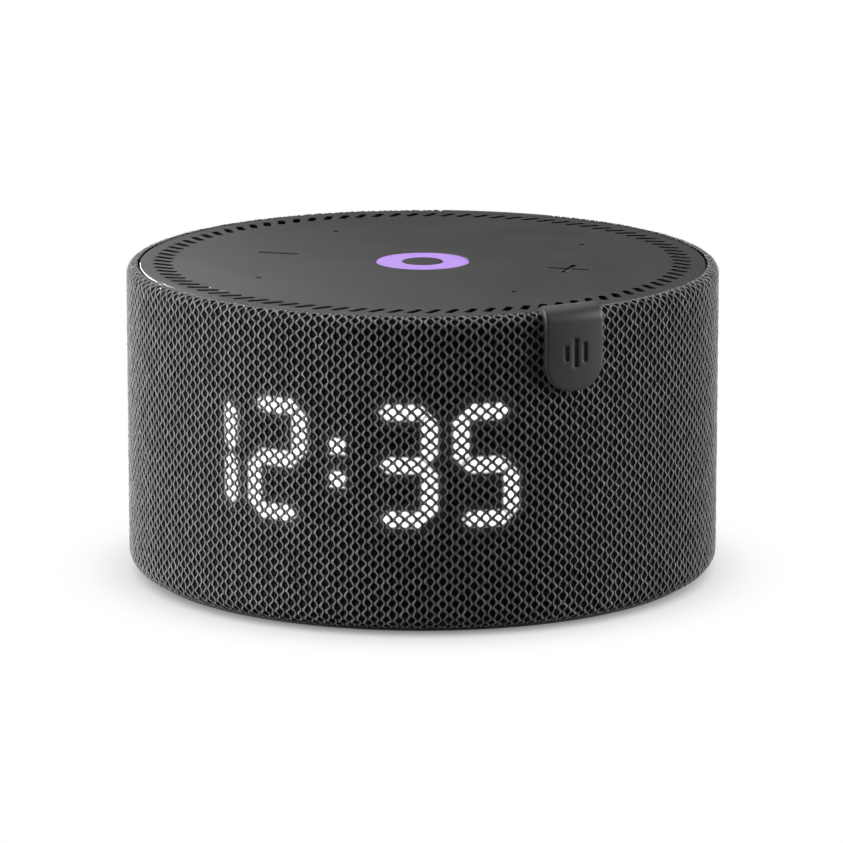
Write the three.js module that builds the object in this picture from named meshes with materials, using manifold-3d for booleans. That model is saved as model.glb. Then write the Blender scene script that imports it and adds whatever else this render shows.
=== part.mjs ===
// Compact smart speaker: a short round body in a knitted sleeve, a flat touch
// plate on top with a ring of slanted sound slots, a clock display behind the
// knit, a silicone tab over the rim and a plain plastic spine at the back.
// Millimetres, +Z up. The origin is the middle of the underside, the clock
// faces -Y and the spine with the power inlet faces +Y.
import * as THREE from 'three';
import { mergeVertices } from 'three/addons/utils/BufferGeometryUtils.js';
import Module from 'manifold-3d';

const wasm = await Module();
wasm.setup();

// ---------------------------------------------------------------- dimensions
const BODY_R = 49.0; // outside of the sleeve
const PLATE_TOP = 51.8; // top face of the touch plate
const PLATE_R = 46.8; // touch plate radius
const PLATE_T = 1.6; // touch plate thickness
const SLEEVE_T = 0.85; // thickness of the knitted sleeve
const SHELL_OUT = 47.85; // side shell outer radius
const SHELL_IN = 46.25; // side shell inner radius
const FACETS = 48; // facets round the large shells, one every 7.5 degrees
const FEWER = 24; // facets round the pieces inside

const SLOT_COUNT = 90; // sound slots, one every 4 degrees
const SLOT_MID_R = 42.9;
const SLOT_LEN = 3.7;
const SLOT_WIDE = 1.3;
const SLOT_SLANT = 33; // degrees from radial
const SLOT_PHASE = 0.4; // degrees from +X

const MIC_AT = 21.6; // each microphone hole at (+-MIC_AT, +-MIC_AT)
const MIC_HOLE_R = 0.5;
const SIGN_AT = 25.0; // minus and plus signs on the X axis
const SIGN_LEN = 7.1;
const SIGN_WIDE = 0.9;
const SIGN_DEEP = 0.4;
const MARK_OUT_R = 7.65; // glowing ring on the plate
const MARK_IN_R = 3.5;

const TAB_WIDE = 10.5; // silicone tab over the rim
const TAB_ANGLE = -45; // degrees from +X, between the front and the right
const TAB_OUT = 50.15;
const TAB_IN = 49.3;
const TAB_BOTTOM = 39.1;
const TAB_TOP = 52.75;

const DIGIT_ARC = [-24.0, -10.83, 10.83, 24.0]; // digit middles, along the wall
const DIGIT_W = 10.3;
const DIGIT_TOP = 37.4;
const DIGIT_BOTTOM = 17.6;
const STROKE = 2.6;
const DOT_Z = [30.4, 25.05];
const DOT = 2.5;
const DISPLAY_HALF = 36.2; // half angle of the display mask, degrees
const DISPLAY_Z0 = 15.9;
const DISPLAY_Z1 = 39.1;

const PANEL_HALF = 10.3; // half width of the rear spine
const BASE_SCREW_R = 40.6; // base screws, every 90 degrees from 45
const PORT_Z = 8.9; // middle of the USB-C inlet
const KNOB_Z = 30.0; // middle of the mute slider
const KNOB_TRAVEL = 3.0; // the slider rests at -travel/2 and slides to +travel/2
const BOX_TOP = 38.3; // top face of the speaker box lid
const BOARD_Z = 5.6; // underside of the main board
const BOARD_T = 1.6;

// ------------------------------------------------------------------- helpers
const rad = (d) => (d * Math.PI) / 180;
const polar = (r, deg) => [r * Math.cos(rad(deg)), r * Math.sin(rad(deg))];

// A closed geometry as a solid, turned so that its faces point outwards.
function solid(geometry) {
  const bare = geometry.index ? geometry.toNonIndexed() : geometry.clone();
  for (const name of Object.keys(bare.attributes))
    if (name !== 'position') bare.deleteAttribute(name);
  const merged = mergeVertices(bare, 1e-4);
  const p = merged.attributes.position.array;
  const src = merged.index.array;
  const tris = [];
  let volume = 0;
  for (let i = 0; i < src.length; i += 3) {
    const a = src[i], b = src[i + 1], c = src[i + 2];
    if (a === b || b === c || a === c) continue;
    tris.push(a, b, c);
    const [ax, ay, az] = [p[3 * a], p[3 * a + 1], p[3 * a + 2]];
    const [bx, by, bz] = [p[3 * b], p[3 * b + 1], p[3 * b + 2]];
    const [cx, cy, cz] = [p[3 * c], p[3 * c + 1], p[3 * c + 2]];
    volume += ax * (by * cz - bz * cy) + ay * (bz * cx - bx * cz) + az * (bx * cy - by * cx);
  }
  if (volume < 0) for (let i = 0; i < tris.length; i += 3) [tris[i + 1], tris[i + 2]] = [tris[i + 2], tris[i + 1]];
  return new wasm.Manifold(
    new wasm.Mesh({ numProp: 3, vertProperties: new Float32Array(p), triVerts: new Uint32Array(tris) }),
  );
}

// A solid back as a geometry with flat shading.
function geometryOf(body) {
  const m = body.getMesh();
  const v = new Float32Array(m.numVert * 3);
  for (let i = 0; i < m.numVert; i++) v.set(m.vertProperties.subarray(i * m.numProp, i * m.numProp + 3), i * 3);
  const g = new THREE.BufferGeometry();
  g.setAttribute('position', new THREE.BufferAttribute(v, 3));
  g.setIndex(new THREE.BufferAttribute(new Uint32Array(m.triVerts), 1));
  const flat = g.toNonIndexed();
  flat.computeVertexNormals();
  return flat;
}

const join = (first, ...rest) => rest.reduce((a, b) => a.add(b), first);
const cut = (first, ...rest) => rest.reduce((a, b) => a.subtract(b), first);

// A profile of [radius, height] points, turned round the Z axis.
function turned(profile, facets = FACETS) {
  const pts = profile.map(([r, z]) => new THREE.Vector2(r, z));
  const open = profile[0][0] > 0 || profile[profile.length - 1][0] > 0;
  if (open) pts.push(pts[0].clone());
  return solid(new THREE.LatheGeometry(pts, facets).rotateX(Math.PI / 2));
}
// A flat outline of [x, y] points raised from z0 to z1.
function raised(outline, z0, z1, holes = []) {
  const s = new THREE.Shape(outline.map(([x, y]) => new THREE.Vector2(x, y)));
  for (const h of holes) s.holes.push(new THREE.Path(h.map(([x, y]) => new THREE.Vector2(x, y))));
  const g = new THREE.ExtrudeGeometry(s, { depth: z1 - z0, bevelEnabled: false, curveSegments: 8 });
  return solid(g.translate(0, 0, z0));
}
const block = (x0, x1, y0, y1, z0, z1) =>
  solid(new THREE.BoxGeometry(x1 - x0, y1 - y0, z1 - z0).translate((x0 + x1) / 2, (y0 + y1) / 2, (z0 + z1) / 2));
// An upright cylinder.
const peg = (r, x, y, z0, z1, facets = 16) =>
  solid(new THREE.CylinderGeometry(r, r, z1 - z0, facets).rotateX(Math.PI / 2).translate(x, y, (z0 + z1) / 2));
// A regular or stretched polygon outline, used for rounded rectangles.
function roundRect(w, h, r, steps = 3) {
  const pts = [];
  const corners = [[w / 2 - r, h / 2 - r, 0], [-w / 2 + r, h / 2 - r, 90], [-w / 2 + r, -h / 2 + r, 180], [w / 2 - r, -h / 2 + r, 270]];
  for (const [cx, cy, a0] of corners)
    for (let i = 0; i <= steps; i++) {
      const a = rad(a0 + (90 * i) / steps);
      pts.push([cx + r * Math.cos(a), cy + r * Math.sin(a)]);
    }
  return pts.filter(([x, y], i) => i === 0 || Math.hypot(x - pts[i - 1][0], y - pts[i - 1][1]) > 1e-3);
}
// An outline in the X-Z plane pushed along +Y from y0 to y1.
function pushedY(outline, y0, y1) {
  const s = new THREE.Shape(outline.map(([x, z]) => new THREE.Vector2(x, z)));
  const g = new THREE.ExtrudeGeometry(s, { depth: y1 - y0, bevelEnabled: false });
  return solid(g.rotateX(Math.PI / 2).translate(0, y1, 0));
}
// A sector of the space round Z, between two angles from -Y, for trimming rings.
function sector(a0, a1, z0, z1, r = 60) {
  const pts = [[0, 0]];
  const steps = Math.max(2, Math.ceil((a1 - a0) / 20));
  for (let i = 0; i <= steps; i++) {
    const a = rad(a0 + ((a1 - a0) * i) / steps - 90);
    pts.push([r * Math.cos(a), r * Math.sin(a)]);
  }
  return raised(pts, z0, z1);
}
// A round lead along a curve of points.
function lead(points, r, steps, sides = 6) {
  const section = new THREE.Shape();
  for (let i = 0; i < sides; i++) {
    const a = (2 * Math.PI * i) / sides;
    if (i) section.lineTo(r * Math.cos(a), r * Math.sin(a));
    else section.moveTo(r * Math.cos(a), r * Math.sin(a));
  }
  section.closePath();
  const path = new THREE.CatmullRomCurve3(points.map((p) => new THREE.Vector3(...p)), false, 'centripetal');
  return solid(new THREE.ExtrudeGeometry(section, { steps, extrudePath: path, bevelEnabled: false }));
}
// A flat ribbon: a path of [radius, height] points with a thickness, w wide,
// lying in the upright plane through the Z axis at an angle from +X.
function ribbon(path, t, w, deg) {
  const left = [], right = [];
  path.forEach(([x, z], i) => {
    const p = path[Math.max(0, i - 1)], n = path[Math.min(path.length - 1, i + 1)];
    const l1 = Math.hypot(x - p[0], z - p[1]) || 1, l2 = Math.hypot(n[0] - x, n[1] - z) || 1;
    let dx = (i ? (x - p[0]) / l1 : 0) + (i < path.length - 1 ? (n[0] - x) / l2 : 0);
    let dz = (i ? (z - p[1]) / l1 : 0) + (i < path.length - 1 ? (n[1] - z) / l2 : 0);
    const l = Math.hypot(dx, dz);
    dx /= l;
    dz /= l;
    left.push([x - (dz * t) / 2, z + (dx * t) / 2]);
    right.push([x + (dz * t) / 2, z - (dx * t) / 2]);
  });
  const s = new THREE.Shape([...left, ...right.reverse()].map(([x, z]) => new THREE.Vector2(x, z)));
  const g = new THREE.ExtrudeGeometry(s, { depth: w, bevelEnabled: false });
  return solid(g.translate(0, 0, -w / 2).rotateX(Math.PI / 2).rotateZ(rad(deg)));
}

const speaker = new THREE.Group();
const material = (color, roughness, metalness = 0, extra = {}) =>
  new THREE.MeshStandardMaterial({ color, roughness, metalness, ...extra });
const M = {
  knit: material(0x4a4a4c, 0.95),
  plate: material(0x2d2d2f, 0.55),
  plastic: material(0x242426, 0.5),
  rubber: material(0x1b1b1c, 0.85),
  silicone: material(0x2e2e30, 0.6),
  black: material(0x101011, 0.6),
  glow: material(0xa070f5, 0.4, 0, { emissive: 0xa070f5, emissiveIntensity: 0.8 }),
  diffuser: material(0xf2f4f5, 0.5),
  board: material(0x174a2c, 0.5),
  blackBoard: material(0x14201a, 0.5),
  steel: material(0xb9bcc0, 0.3, 1),
  darkSteel: material(0x3a3b3d, 0.4, 1),
  ferrite: material(0x26262a, 0.7, 0.2),
  aluminium: material(0xcdd0d3, 0.4, 1),
  cone: material(0x1e1e20, 0.8),
  copper: material(0xb06a3a, 0.35, 1),
  spider: material(0xc79a4a, 0.9),
  foam: material(0x202022, 0.95),
  polyimide: material(0xb4721c, 0.45),
  red: material(0xa31c1c, 0.6),
  chip: material(0x17171a, 0.5),
};
function add(name, body, mat, parent = speaker) {
  const mesh = new THREE.Mesh(geometryOf(body), mat);
  mesh.name = name;
  parent.add(mesh);
  return mesh;
}

// ------------------------------------------------------------------ the base
add('foot_ring', turned([[36.8, 0], [43.5, 0], [43.8, 0.3], [43.8, 1.5], [36.8, 1.5]], 36), M.rubber);

const screwSpots = [45, 135, 225, 315].map((a) => polar(BASE_SCREW_R, a));
{
  let cover = turned([
    [0, 0.9], [36.5, 0.9], [36.5, 1.65], [44.1, 1.65], [44.1, 0.5], [46.1, 0.5], [46.5, 0.8], [46.5, 1.45],
    [45.2, 1.65], [44.6, 2.15], [44.2, 2.5], [44.2, 5.0], [43.0, 5.0], [43.0, 2.9], [0, 2.9],
  ], 36);
  for (const [x, y] of screwSpots) cover = cover.add(peg(3.5, x, y, 2.5, 5.0, 12));
  for (const [x, y] of screwSpots) cover = cut(cover, peg(2.75, x, y, 0.5, 3.1, 12), peg(1.4, x, y, 0.5, 6, 8));
  add('base_cover', cover, M.plastic);
  screwSpots.forEach(([x, y], i) => {
    const group = new THREE.Group();
    group.position.set(x, y, 1.8);
    speaker.add(group);
    let screw = join(peg(2.4, 0, 0, 0, 1.2, 10), peg(1.0, 0, 0, 1.0, 9.5, 6));
    screw = cut(screw, block(-1.4, 1.4, -0.3, 0.3, -0.5, 0.6), block(-0.3, 0.3, -1.4, 1.4, -0.5, 0.6));
    add('base_screw_' + (i + 1), screw, M.darkSteel, group);
  });
}

// ---------------------------------------------------------------- side shell
{
  let shell = turned([
    [44.6, 2.85], [45.1, 2.15], [46.5, 2.15], [47.05, 2.55], [47.5, 3.4], [SHELL_OUT, 4.6], [SHELL_OUT, 49.7], [47.5, 50.05],
    [45.3, 50.05], [45.3, 48.8], [SHELL_IN, 48.1], [SHELL_IN, 6.0], [44.6, 5.4],
  ]);
  for (const a of [45, 135, 225, 315]) {
    const [x, y] = polar(BASE_SCREW_R, a);
    shell = shell.add(peg(3.2, x, y, 5.3, 15.5, 10));
    const rib = raised([[BASE_SCREW_R, -0.9], [46.8, -0.9], [46.8, 0.9], [BASE_SCREW_R, 0.9]], 6.4, 15.5).rotate([0, 0, a]);
    shell = shell.add(rib);
    shell = shell.subtract(peg(1.35, x, y, 4.0, 12.2, 8));
  }
  // the window of the clock, and two windows behind the spine
  shell = shell.subtract(sector(-DISPLAY_HALF - 0.35, DISPLAY_HALF + 0.35, DISPLAY_Z0 - 0.3, DISPLAY_Z1 + 0.3));
  shell = shell.subtract(block(-8.3, 8.3, 42, 52, 5.0, 12.9));
  shell = shell.subtract(block(-8.3, 8.3, 42, 52, KNOB_Z - 6.3, KNOB_Z + 6.3));
  add('side_shell', shell, M.plastic);
}

// ------------------------------------------------------------ knitted sleeve
{
  const inner = BODY_R - SLEEVE_T;
  let sleeve = turned([
    [46.8, 1.1], [47.6, 1.35], [48.65, 2.5], [BODY_R, 3.9], [BODY_R, 49.8], [48.6, 51.3],
    [47.7, 51.85], [47.05, 51.7], [47.05, 50.35], [47.7, 50.35], [inner, 49.7], [inner, 4.2],
    [47.85, 3.0], [47.3, 2.1], [46.8, 1.85],
  ]);
  sleeve = sleeve.subtract(block(-PANEL_HALF - 0.35, PANEL_HALF + 0.35, 30, 60, -1, 60));
  add('knit_sleeve', sleeve, M.knit);
}

// ------------------------------------------------------------- rear spine
{
  const inner = BODY_R - SLEEVE_T;
  let spine = turned([
    [46.8, 1.1], [47.6, 1.35], [48.65, 2.5], [BODY_R, 3.9], [BODY_R, 49.8], [48.6, 51.3],
    [47.7, 51.8], [47.05, 51.6], [47.05, 50.35], [47.7, 50.35], [inner, 49.7], [inner, 4.2],
    [47.85, 3.0], [47.3, 2.1], [46.8, 1.85],
  ]).intersect(block(-PANEL_HALF, PANEL_HALF, 30, 60, -1, 60));
  // a thick pad behind the slider, with a thumb recess in its face
  spine = spine.add(block(-8.0, 8.0, 46.4, 48.4, KNOB_Z - 6, KNOB_Z + 6).intersect(turned([[40, 20], [48.5, 20], [48.5, 40], [40, 40]])));
  spine = spine.subtract(pushedY(roundRect(13.0, 6.4, 3.0).map(([x, z]) => [x, z + KNOB_Z]), 47.75, 52));
  spine = spine.subtract(pushedY(roundRect(8.8, 3.2, 0.6, 1).map(([x, z]) => [x, z + KNOB_Z]), 44, 52));
  spine = spine.subtract(pushedY(roundRect(9.7, 3.9, 1.9, 3).map(([x, z]) => [x, z + PORT_Z]), 44, 52));
  add('rear_spine', spine, M.plastic);
}

// ------------------------------------------------------------- touch plate
{
  const z0 = PLATE_TOP - PLATE_T;
  let plate = turned([
    [7.8, z0], [39.0, z0], [39.0, 48.3], [40.0, 48.3], [40.0, z0], [46.5, z0], [PLATE_R, z0 + 0.3],
    [PLATE_R, PLATE_TOP - 0.25], [PLATE_R - 0.25, PLATE_TOP], [7.8, PLATE_TOP],
  ]);
  for (const a of [0, 90, 180, 270]) {
    const [x, y] = polar(34, a);
    plate = plate.add(peg(1.5, x, y, 45.4, z0 + 0.2, 8));
  }
  const cuts = [];
  for (let i = 0; i < SLOT_COUNT; i++) {
    const a = (360 * i) / SLOT_COUNT + SLOT_PHASE;
    const l = SLOT_LEN / 2, w = SLOT_WIDE / 2;
    const outline = [[-l, -w], [l, -w], [l, w], [-l, w]]
      .map(([x, y]) => [x * Math.cos(rad(-SLOT_SLANT)) - y * Math.sin(rad(-SLOT_SLANT)), x * Math.sin(rad(-SLOT_SLANT)) + y * Math.cos(rad(-SLOT_SLANT))])
      .map(([x, y]) => [x + SLOT_MID_R, y])
      .map(([x, y]) => [x * Math.cos(rad(a)) - y * Math.sin(rad(a)), x * Math.sin(rad(a)) + y * Math.cos(rad(a))]);
    cuts.push(raised(outline, z0 - 0.5, PLATE_TOP + 0.5));
  }
  for (const [sx, sy] of [[1, 1], [1, -1], [-1, 1], [-1, -1]])
    cuts.push(peg(MIC_HOLE_R, sx * MIC_AT, sy * MIC_AT, z0 - 0.5, PLATE_TOP + 0.5, 8));
  const top = [PLATE_TOP - SIGN_DEEP, PLATE_TOP + 0.5];
  cuts.push(block(-SIGN_AT - SIGN_LEN / 2, -SIGN_AT + SIGN_LEN / 2, -SIGN_WIDE / 2, SIGN_WIDE / 2, ...top));
  cuts.push(block(SIGN_AT - SIGN_LEN / 2, SIGN_AT + SIGN_LEN / 2, -SIGN_WIDE / 2, SIGN_WIDE / 2, ...top));
  cuts.push(block(SIGN_AT - SIGN_WIDE / 2, SIGN_AT + SIGN_WIDE / 2, -SIGN_LEN / 2, SIGN_LEN / 2, ...top));
  plate = cut(plate, ...cuts);
  add('touch_plate', plate, M.plate);
}
add('glow_ring', turned([[MARK_IN_R, 50.15], [MARK_OUT_R, 50.15], [MARK_OUT_R, PLATE_TOP - 0.05], [MARK_IN_R, PLATE_TOP - 0.05]], FEWER), M.glow);
add('glow_ring_cap', turned([[0, 50.15], [3.3, 50.15], [3.3, PLATE_TOP - 0.05], [0, PLATE_TOP - 0.05]], 20), M.plate);
add('glow_light_guide', turned([[0, 49.5], [8.0, 49.5], [8.0, 48.7], [9.2, 48.7], [9.2, 50.05], [0, 50.05]], 16), M.diffuser);

// ------------------------------------------------------------ silicone tab
{
  let tab = turned([
    [TAB_IN, TAB_BOTTOM], [TAB_OUT, TAB_BOTTOM], [TAB_OUT, 50.6], [49.85, 51.7], [49.0, 52.5], [47.9, TAB_TOP],
    [47.05, 52.65], [47.05, 52.0], [47.9, 52.1], [48.7, 51.8], [49.2, 50.9], [TAB_IN, 50.0],
  ]);
  // trimmed to its width, with round corners at its lower end
  const w = TAB_WIDE / 2, r = 4.6;
  const outline = [[-w, 60], [-w, TAB_BOTTOM + r]];
  for (let i = 1; i < 5; i++) outline.push([-w + r - r * Math.cos(rad(22.5 * i)), TAB_BOTTOM + r - r * Math.sin(rad(22.5 * i))]);
  outline.push([-w + r, TAB_BOTTOM], [w - r, TAB_BOTTOM]);
  for (let i = 1; i < 5; i++) outline.push([w - r + r * Math.sin(rad(22.5 * i)), TAB_BOTTOM + r - r * Math.cos(rad(22.5 * i))]);
  outline.push([w, 60]);
  tab = tab.intersect(pushedY(outline.filter(([x, z], i, a) => !i || Math.hypot(x - a[i - 1][0], z - a[i - 1][1]) > 1e-3), -60, -30).rotate([0, 0, TAB_ANGLE + 90]));
  // three sound bars pressed into its face
  for (const [x, h] of [[-1.7, 2.4], [0, 4.6], [1.7, 3.2]])
    tab = tab.subtract(pushedY([[x - 0.4, 45.3 - h / 2], [x + 0.4, 45.3 - h / 2], [x + 0.4, 45.3 + h / 2], [x - 0.4, 45.3 + h / 2]], -60, -TAB_OUT + 0.3).rotate([0, 0, TAB_ANGLE + 90]));
  add('silicone_tab', tab, M.silicone);
}

// ----------------------------------------------- touch and microphone board
{
  let board = turned([[0, 47.3], [38.0, 47.3], [38.0, 48.5], [0, 48.5]], FEWER);
  for (const a of [0, 90, 180, 270]) board = board.subtract(peg(1.8, ...polar(34, a), 46, 50, 8));
  for (const [sx, sy] of [[1, 1], [1, -1], [-1, 1], [-1, -1]]) board = board.subtract(peg(0.6, sx * MIC_AT, sy * MIC_AT, 46, 50, 6));
  for (let i = 0; i < 6; i++) {
    const [x, y] = polar(5.5, 60 * i);
    board = board.add(block(x - 0.8, x + 0.8, y - 0.8, y + 0.8, 48.3, 49.1));
  }
  add('touch_board', board, M.blackBoard);
}
[[1, 1], [-1, 1], [-1, -1], [1, -1]].forEach(([sx, sy], i) => {
  const spot = new THREE.Group();
  spot.position.set(sx * MIC_AT, sy * MIC_AT, 0);
  speaker.add(spot);
  add('microphone_' + (i + 1), block(-1.75, 1.75, -1.3, 1.3, 46.2, 47.2), M.steel, spot);
  add('microphone_gasket_' + (i + 1), turned([[0.8, 48.6], [2.6, 48.6], [2.6, 50.1], [0.8, 50.1]], 8), M.foam, spot);
});

// ------------------------------------------------- frame over the driver
{
  let frame = turned([
    [0, 42.4], [4.0, 42.9], [10.0, 44.3], [16.0, 44.9], [38.0, 44.9], [38.0, 46.0], [0, 46.0],
  ], FEWER);
  for (const a of [45, 135, 225, 315]) {
    const [x, y] = polar(34.6, a);
    frame = frame.add(peg(2.2, x, y, BOX_TOP + 0.1, 45.4, 8));
  }
  for (const a of [0, 90, 180, 270]) frame = frame.subtract(peg(1.8, ...polar(34, a), 44, 50, 8));
  add('sound_deflector', frame, M.black);
}

// ------------------------------------------------------------- speaker box
const driverScrews = [45, 135, 225, 315].map((a) => polar(24.4, a));
{
  let lid = turned([[21.6, 36.5], [32.1, 36.5], [32.1, 33.8], [33.4, 33.8], [33.4, 36.5], [36.6, 36.5], [36.6, BOX_TOP], [21.6, BOX_TOP]], FEWER);
  for (const [x, y] of driverScrews) lid = cut(lid.add(peg(2.5, x, y, 32.6, 36.7, 8)), peg(1.25, x, y, 33.6, 40, 6));
  add('speaker_box_lid', lid, M.plastic);

  let tub = turned([[0, 10.0], [35.5, 10.0], [35.5, 36.2], [33.7, 36.2], [33.7, 11.8], [0, 11.8]], FEWER);
  for (const a of [20, 160, 200, 340]) {
    const [x, y] = polar(38.6, a);
    tub = tub.add(peg(2.6, x, y, 3.1, 14.0, 8));
    tub = tub.add(raised([[34.6, -1.0], [38.6, -1.0], [38.6, 1.0], [34.6, 1.0]], 10.0, 14.0).rotate([0, 0, a]));
  }
  // way out for the two leads
  tub = tub.subtract(raised([[30, -2.3], [40, -2.3], [40, 2.3], [30, 2.3]], 14.6, 17.4).rotate([0, 0, 112]));
  add('speaker_box_tub', tub, M.black);
}

// -------------------------------------------------------------- the driver
const driver = new THREE.Group();
driver.position.z = BOX_TOP; // heights below are from the lid's top face
speaker.add(driver);
{
  let gasket = turned([[21.8, 0.1], [26.2, 0.1], [26.2, 0.6], [21.8, 0.6]], 24);
  for (const [x, y] of driverScrews) gasket = gasket.subtract(peg(1.3, x, y, -1, 2, 6));
  add('driver_gasket', gasket, M.foam, driver);

  let basket = turned([
    [9.8, -9.9], [15.8, -9.9], [21.2, 0.75], [26.3, 0.75], [26.3, 1.7], [20.3, 1.7], [20.3, 0.9], [15.2, -9.0], [9.8, -9.0],
  ], 24);
  for (const a of [0, 90, 180, 270]) {
    const window = raised([[11, -5.2], [24, -7.6], [24, 7.6], [11, 5.2]], -8.0, -0.8).rotate([0, 0, a]);
    basket = basket.subtract(window);
  }
  for (const [x, y] of driverScrews) basket = basket.subtract(peg(1.3, x, y, -1, 4, 6));
  add('driver_basket', basket, M.darkSteel, driver);

  add('driver_surround', turned([
    [17.1, 1.15], [18.5, 1.15], [19.3, 2.3], [20.0, 2.7], [20.8, 2.2], [21.2, 1.8], [22.2, 1.8], [22.2, 2.2],
    [21.4, 2.2], [20.7, 3.0], [19.2, 2.9], [18.2, 1.6], [17.1, 1.6],
  ], 18), M.rubber, driver);
  add('driver_cone', turned([
    [7.15, -6.6], [8.0, -6.1], [18.1, 0.5], [18.1, 1.0], [17.2, 1.0], [7.15, -5.2],
  ], 24), M.cone, driver);
  add('driver_dust_cap', turned([
    [0, -1.6], [4.0, -2.1], [7.0, -3.4], [8.3, -4.15], [7.6, -4.4], [6.4, -3.7], [3.6, -2.6], [0, -2.1],
  ], 18), M.cone, driver);
  add('voice_coil', turned([[6.3, -15.0], [6.95, -15.0], [6.95, -5.0], [6.3, -5.0]], 24), M.copper, driver);
  add('driver_spider', turned([
    [7.1, -7.6], [8.6, -7.2], [10.3, -7.8], [12.0, -7.2], [13.9, -7.6], [13.9, -7.3], [12.0, -6.9], [10.3, -7.5],
    [8.6, -6.9], [7.1, -7.3],
  ], 16), M.spider, driver);
  add('magnet_top_plate', turned([[7.5, -12.7], [14.3, -12.7], [14.3, -10.1], [7.5, -10.1]], 24), M.steel, driver);
  add('magnet_ring', turned([[9.0, -17.8], [16.0, -17.8], [16.0, -12.8], [9.0, -12.8]], 24), M.ferrite, driver);
  add('magnet_yoke', turned([[0, -20.6], [14.2, -20.6], [14.2, -17.9], [5.7, -17.9], [5.7, -10.2], [0, -10.2]], 24), M.steel, driver);
  driverScrews.forEach(([x, y], i) => {
    const group = new THREE.Group();
    group.position.set(x, y, 1.8);
    driver.add(group);
    add('driver_screw_' + (i + 1), cut(join(peg(1.9, 0, 0, 0, 1.0, 12), peg(0.95, 0, 0, -6.0, 0.2, 8)), block(-1.2, 1.2, -0.25, 0.25, 0.5, 2)), M.steel, group);
  });
}

// -------------------------------------------------------------- clock display
const onWall = (arc) => (arc / BODY_R) * (180 / Math.PI); // degrees from the front for an arc along the wall
// The seven strokes of a digit as outlines in [arc, z] about the digit's middle.
function strokes() {
  const w = DIGIT_W / 2, s = STROKE, g = 0.22;
  const top = DIGIT_TOP, bot = DIGIT_BOTTOM, mid = (top + bot) / 2 + 0.1;
  const bar = (z, lo, hi) => [[-w + s * 0.5 + g, z], [-w + s + g, z + hi], [w - s - g, z + hi], [w - s * 0.5 - g, z], [w - s - g, z - lo], [-w + s + g, z - lo]];
  const post = (x, z0, z1) => [[x - s / 2, z0 + s * 0.5 + g], [x, z0 + g], [x + s / 2, z0 + s * 0.5 + g], [x + s / 2, z1 - s * 0.5 - g], [x, z1 - g], [x - s / 2, z1 - s * 0.5 - g]];
  return {
    a: bar(top - s / 2, s / 2, s / 2), g: bar(mid, s / 2, s / 2), d: bar(bot + s / 2, s / 2, s / 2),
    f: post(-w + s / 2, mid, top - s / 2), b: post(w - s / 2, mid, top - s / 2),
    e: post(-w + s / 2, bot + s / 2, mid), c: post(w - s / 2, bot + s / 2, mid),
  };
}
// One outline as a radial block between two radii, shrunk by an inset.
function wallBlock(outline, arc, r0, r1, inset) {
  const cx = outline.reduce((t, p) => t + p[0], 0) / outline.length, cz = outline.reduce((t, p) => t + p[1], 0) / outline.length;
  const pts = outline.map(([x, z]) => {
    const dx = x - cx, dz = z - cz, l = Math.hypot(dx, dz);
    const k = (l - inset * 1.2) / l;
    return [cx + dx * k, cz + dz * k];
  });
  return pushedY(pts, -r1, -r0).rotate([0, 0, onWall(arc)]);
}
{
  let mask = turned([[46.35, DISPLAY_Z0], [47.8, DISPLAY_Z0], [47.8, DISPLAY_Z1], [46.35, DISPLAY_Z1]]).intersect(
    sector(-DISPLAY_HALF, DISPLAY_HALF, 0, 60),
  );
  let guide = turned([[45.3, 15.0], [45.95, 15.0], [45.95, 40.0], [45.3, 40.0]]).intersect(sector(-37.4, 37.4, 0, 60));
  const shapes = [];
  for (const arc of DIGIT_ARC) for (const s of Object.values(strokes())) shapes.push([s, arc]);
  for (const z of DOT_Z) shapes.push([[[-DOT / 2, z - DOT / 2], [DOT / 2, z - DOT / 2], [DOT / 2, z + DOT / 2], [-DOT / 2, z + DOT / 2]], 0]);
  mask = cut(mask, ...shapes.map(([s, arc]) => wallBlock(s, arc, 44, 50, 0)));
  guide = join(guide, ...shapes.map(([s, arc]) => wallBlock(s, arc, 45.6, 47.55, 0.25)));
  add('display_mask', mask, M.black);
  add('display_light_guide', guide, M.diffuser);
  let leds = turned([[43.2, 16.0], [44.0, 16.0], [44.0, 39.0], [43.2, 39.0]]).intersect(sector(-36.5, 36.5, 0, 60));
  for (const arc of [...DIGIT_ARC, 0])
    for (const z of arc ? [22.0, 33.0] : [27.7]) leds = leds.add(block(-1.6, 1.6, -44.7, -43.7, z - 0.8, z + 0.8).rotate([0, 0, onWall(arc)]));
  add('display_led_board', leds, M.board);
}
add('display_flex', ribbon([[43.6, 15.7], [43.6, 10.6], [42.6, 8.9], [40.6, 8.0], [33.0, 7.6]], 0.3, 10, -90), M.polyimide);

// ------------------------------------------------------------- main board
const boardTop = BOARD_Z + BOARD_T;
{
  const outline = [];
  for (let i = 0; i <= 34; i++) {
    const a = 90 + 13.1 + ((360 - 26.2) * i) / 34;
    outline.push(polar(35.3, a));
  }
  outline.push([8.0, 46.9], [-8.0, 46.9]);
  add('main_board', raised(outline, BOARD_Z, boardTop), M.board);
  const z = boardTop + 0.05;
  add('processor_shield', cut(block(-22, -2, -16, 4, z, z + 2.2), block(-21.4, -2.6, -15.4, 3.4, z - 1, z + 1.9)), M.steel);
  add('wireless_module', block(6, 20, -14, -2, z, z + 1.8), M.steel);
  add('power_inductor', raised(roundRect(6.4, 6.4, 1.2, 1).map(([x, y]) => [x + 13, y + 14]), z, z + 2.3), M.ferrite);
  add('storage_capacitor', block(-3.6, 3.7, 14, 18.3, z, z + 2.0), M.chip);
  add('heat_spreader', raised(roundRect(44, 34, 4, 2).map(([x, y]) => [x - 6, y - 4]), 3.3, 5.3), M.aluminium);
}

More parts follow.
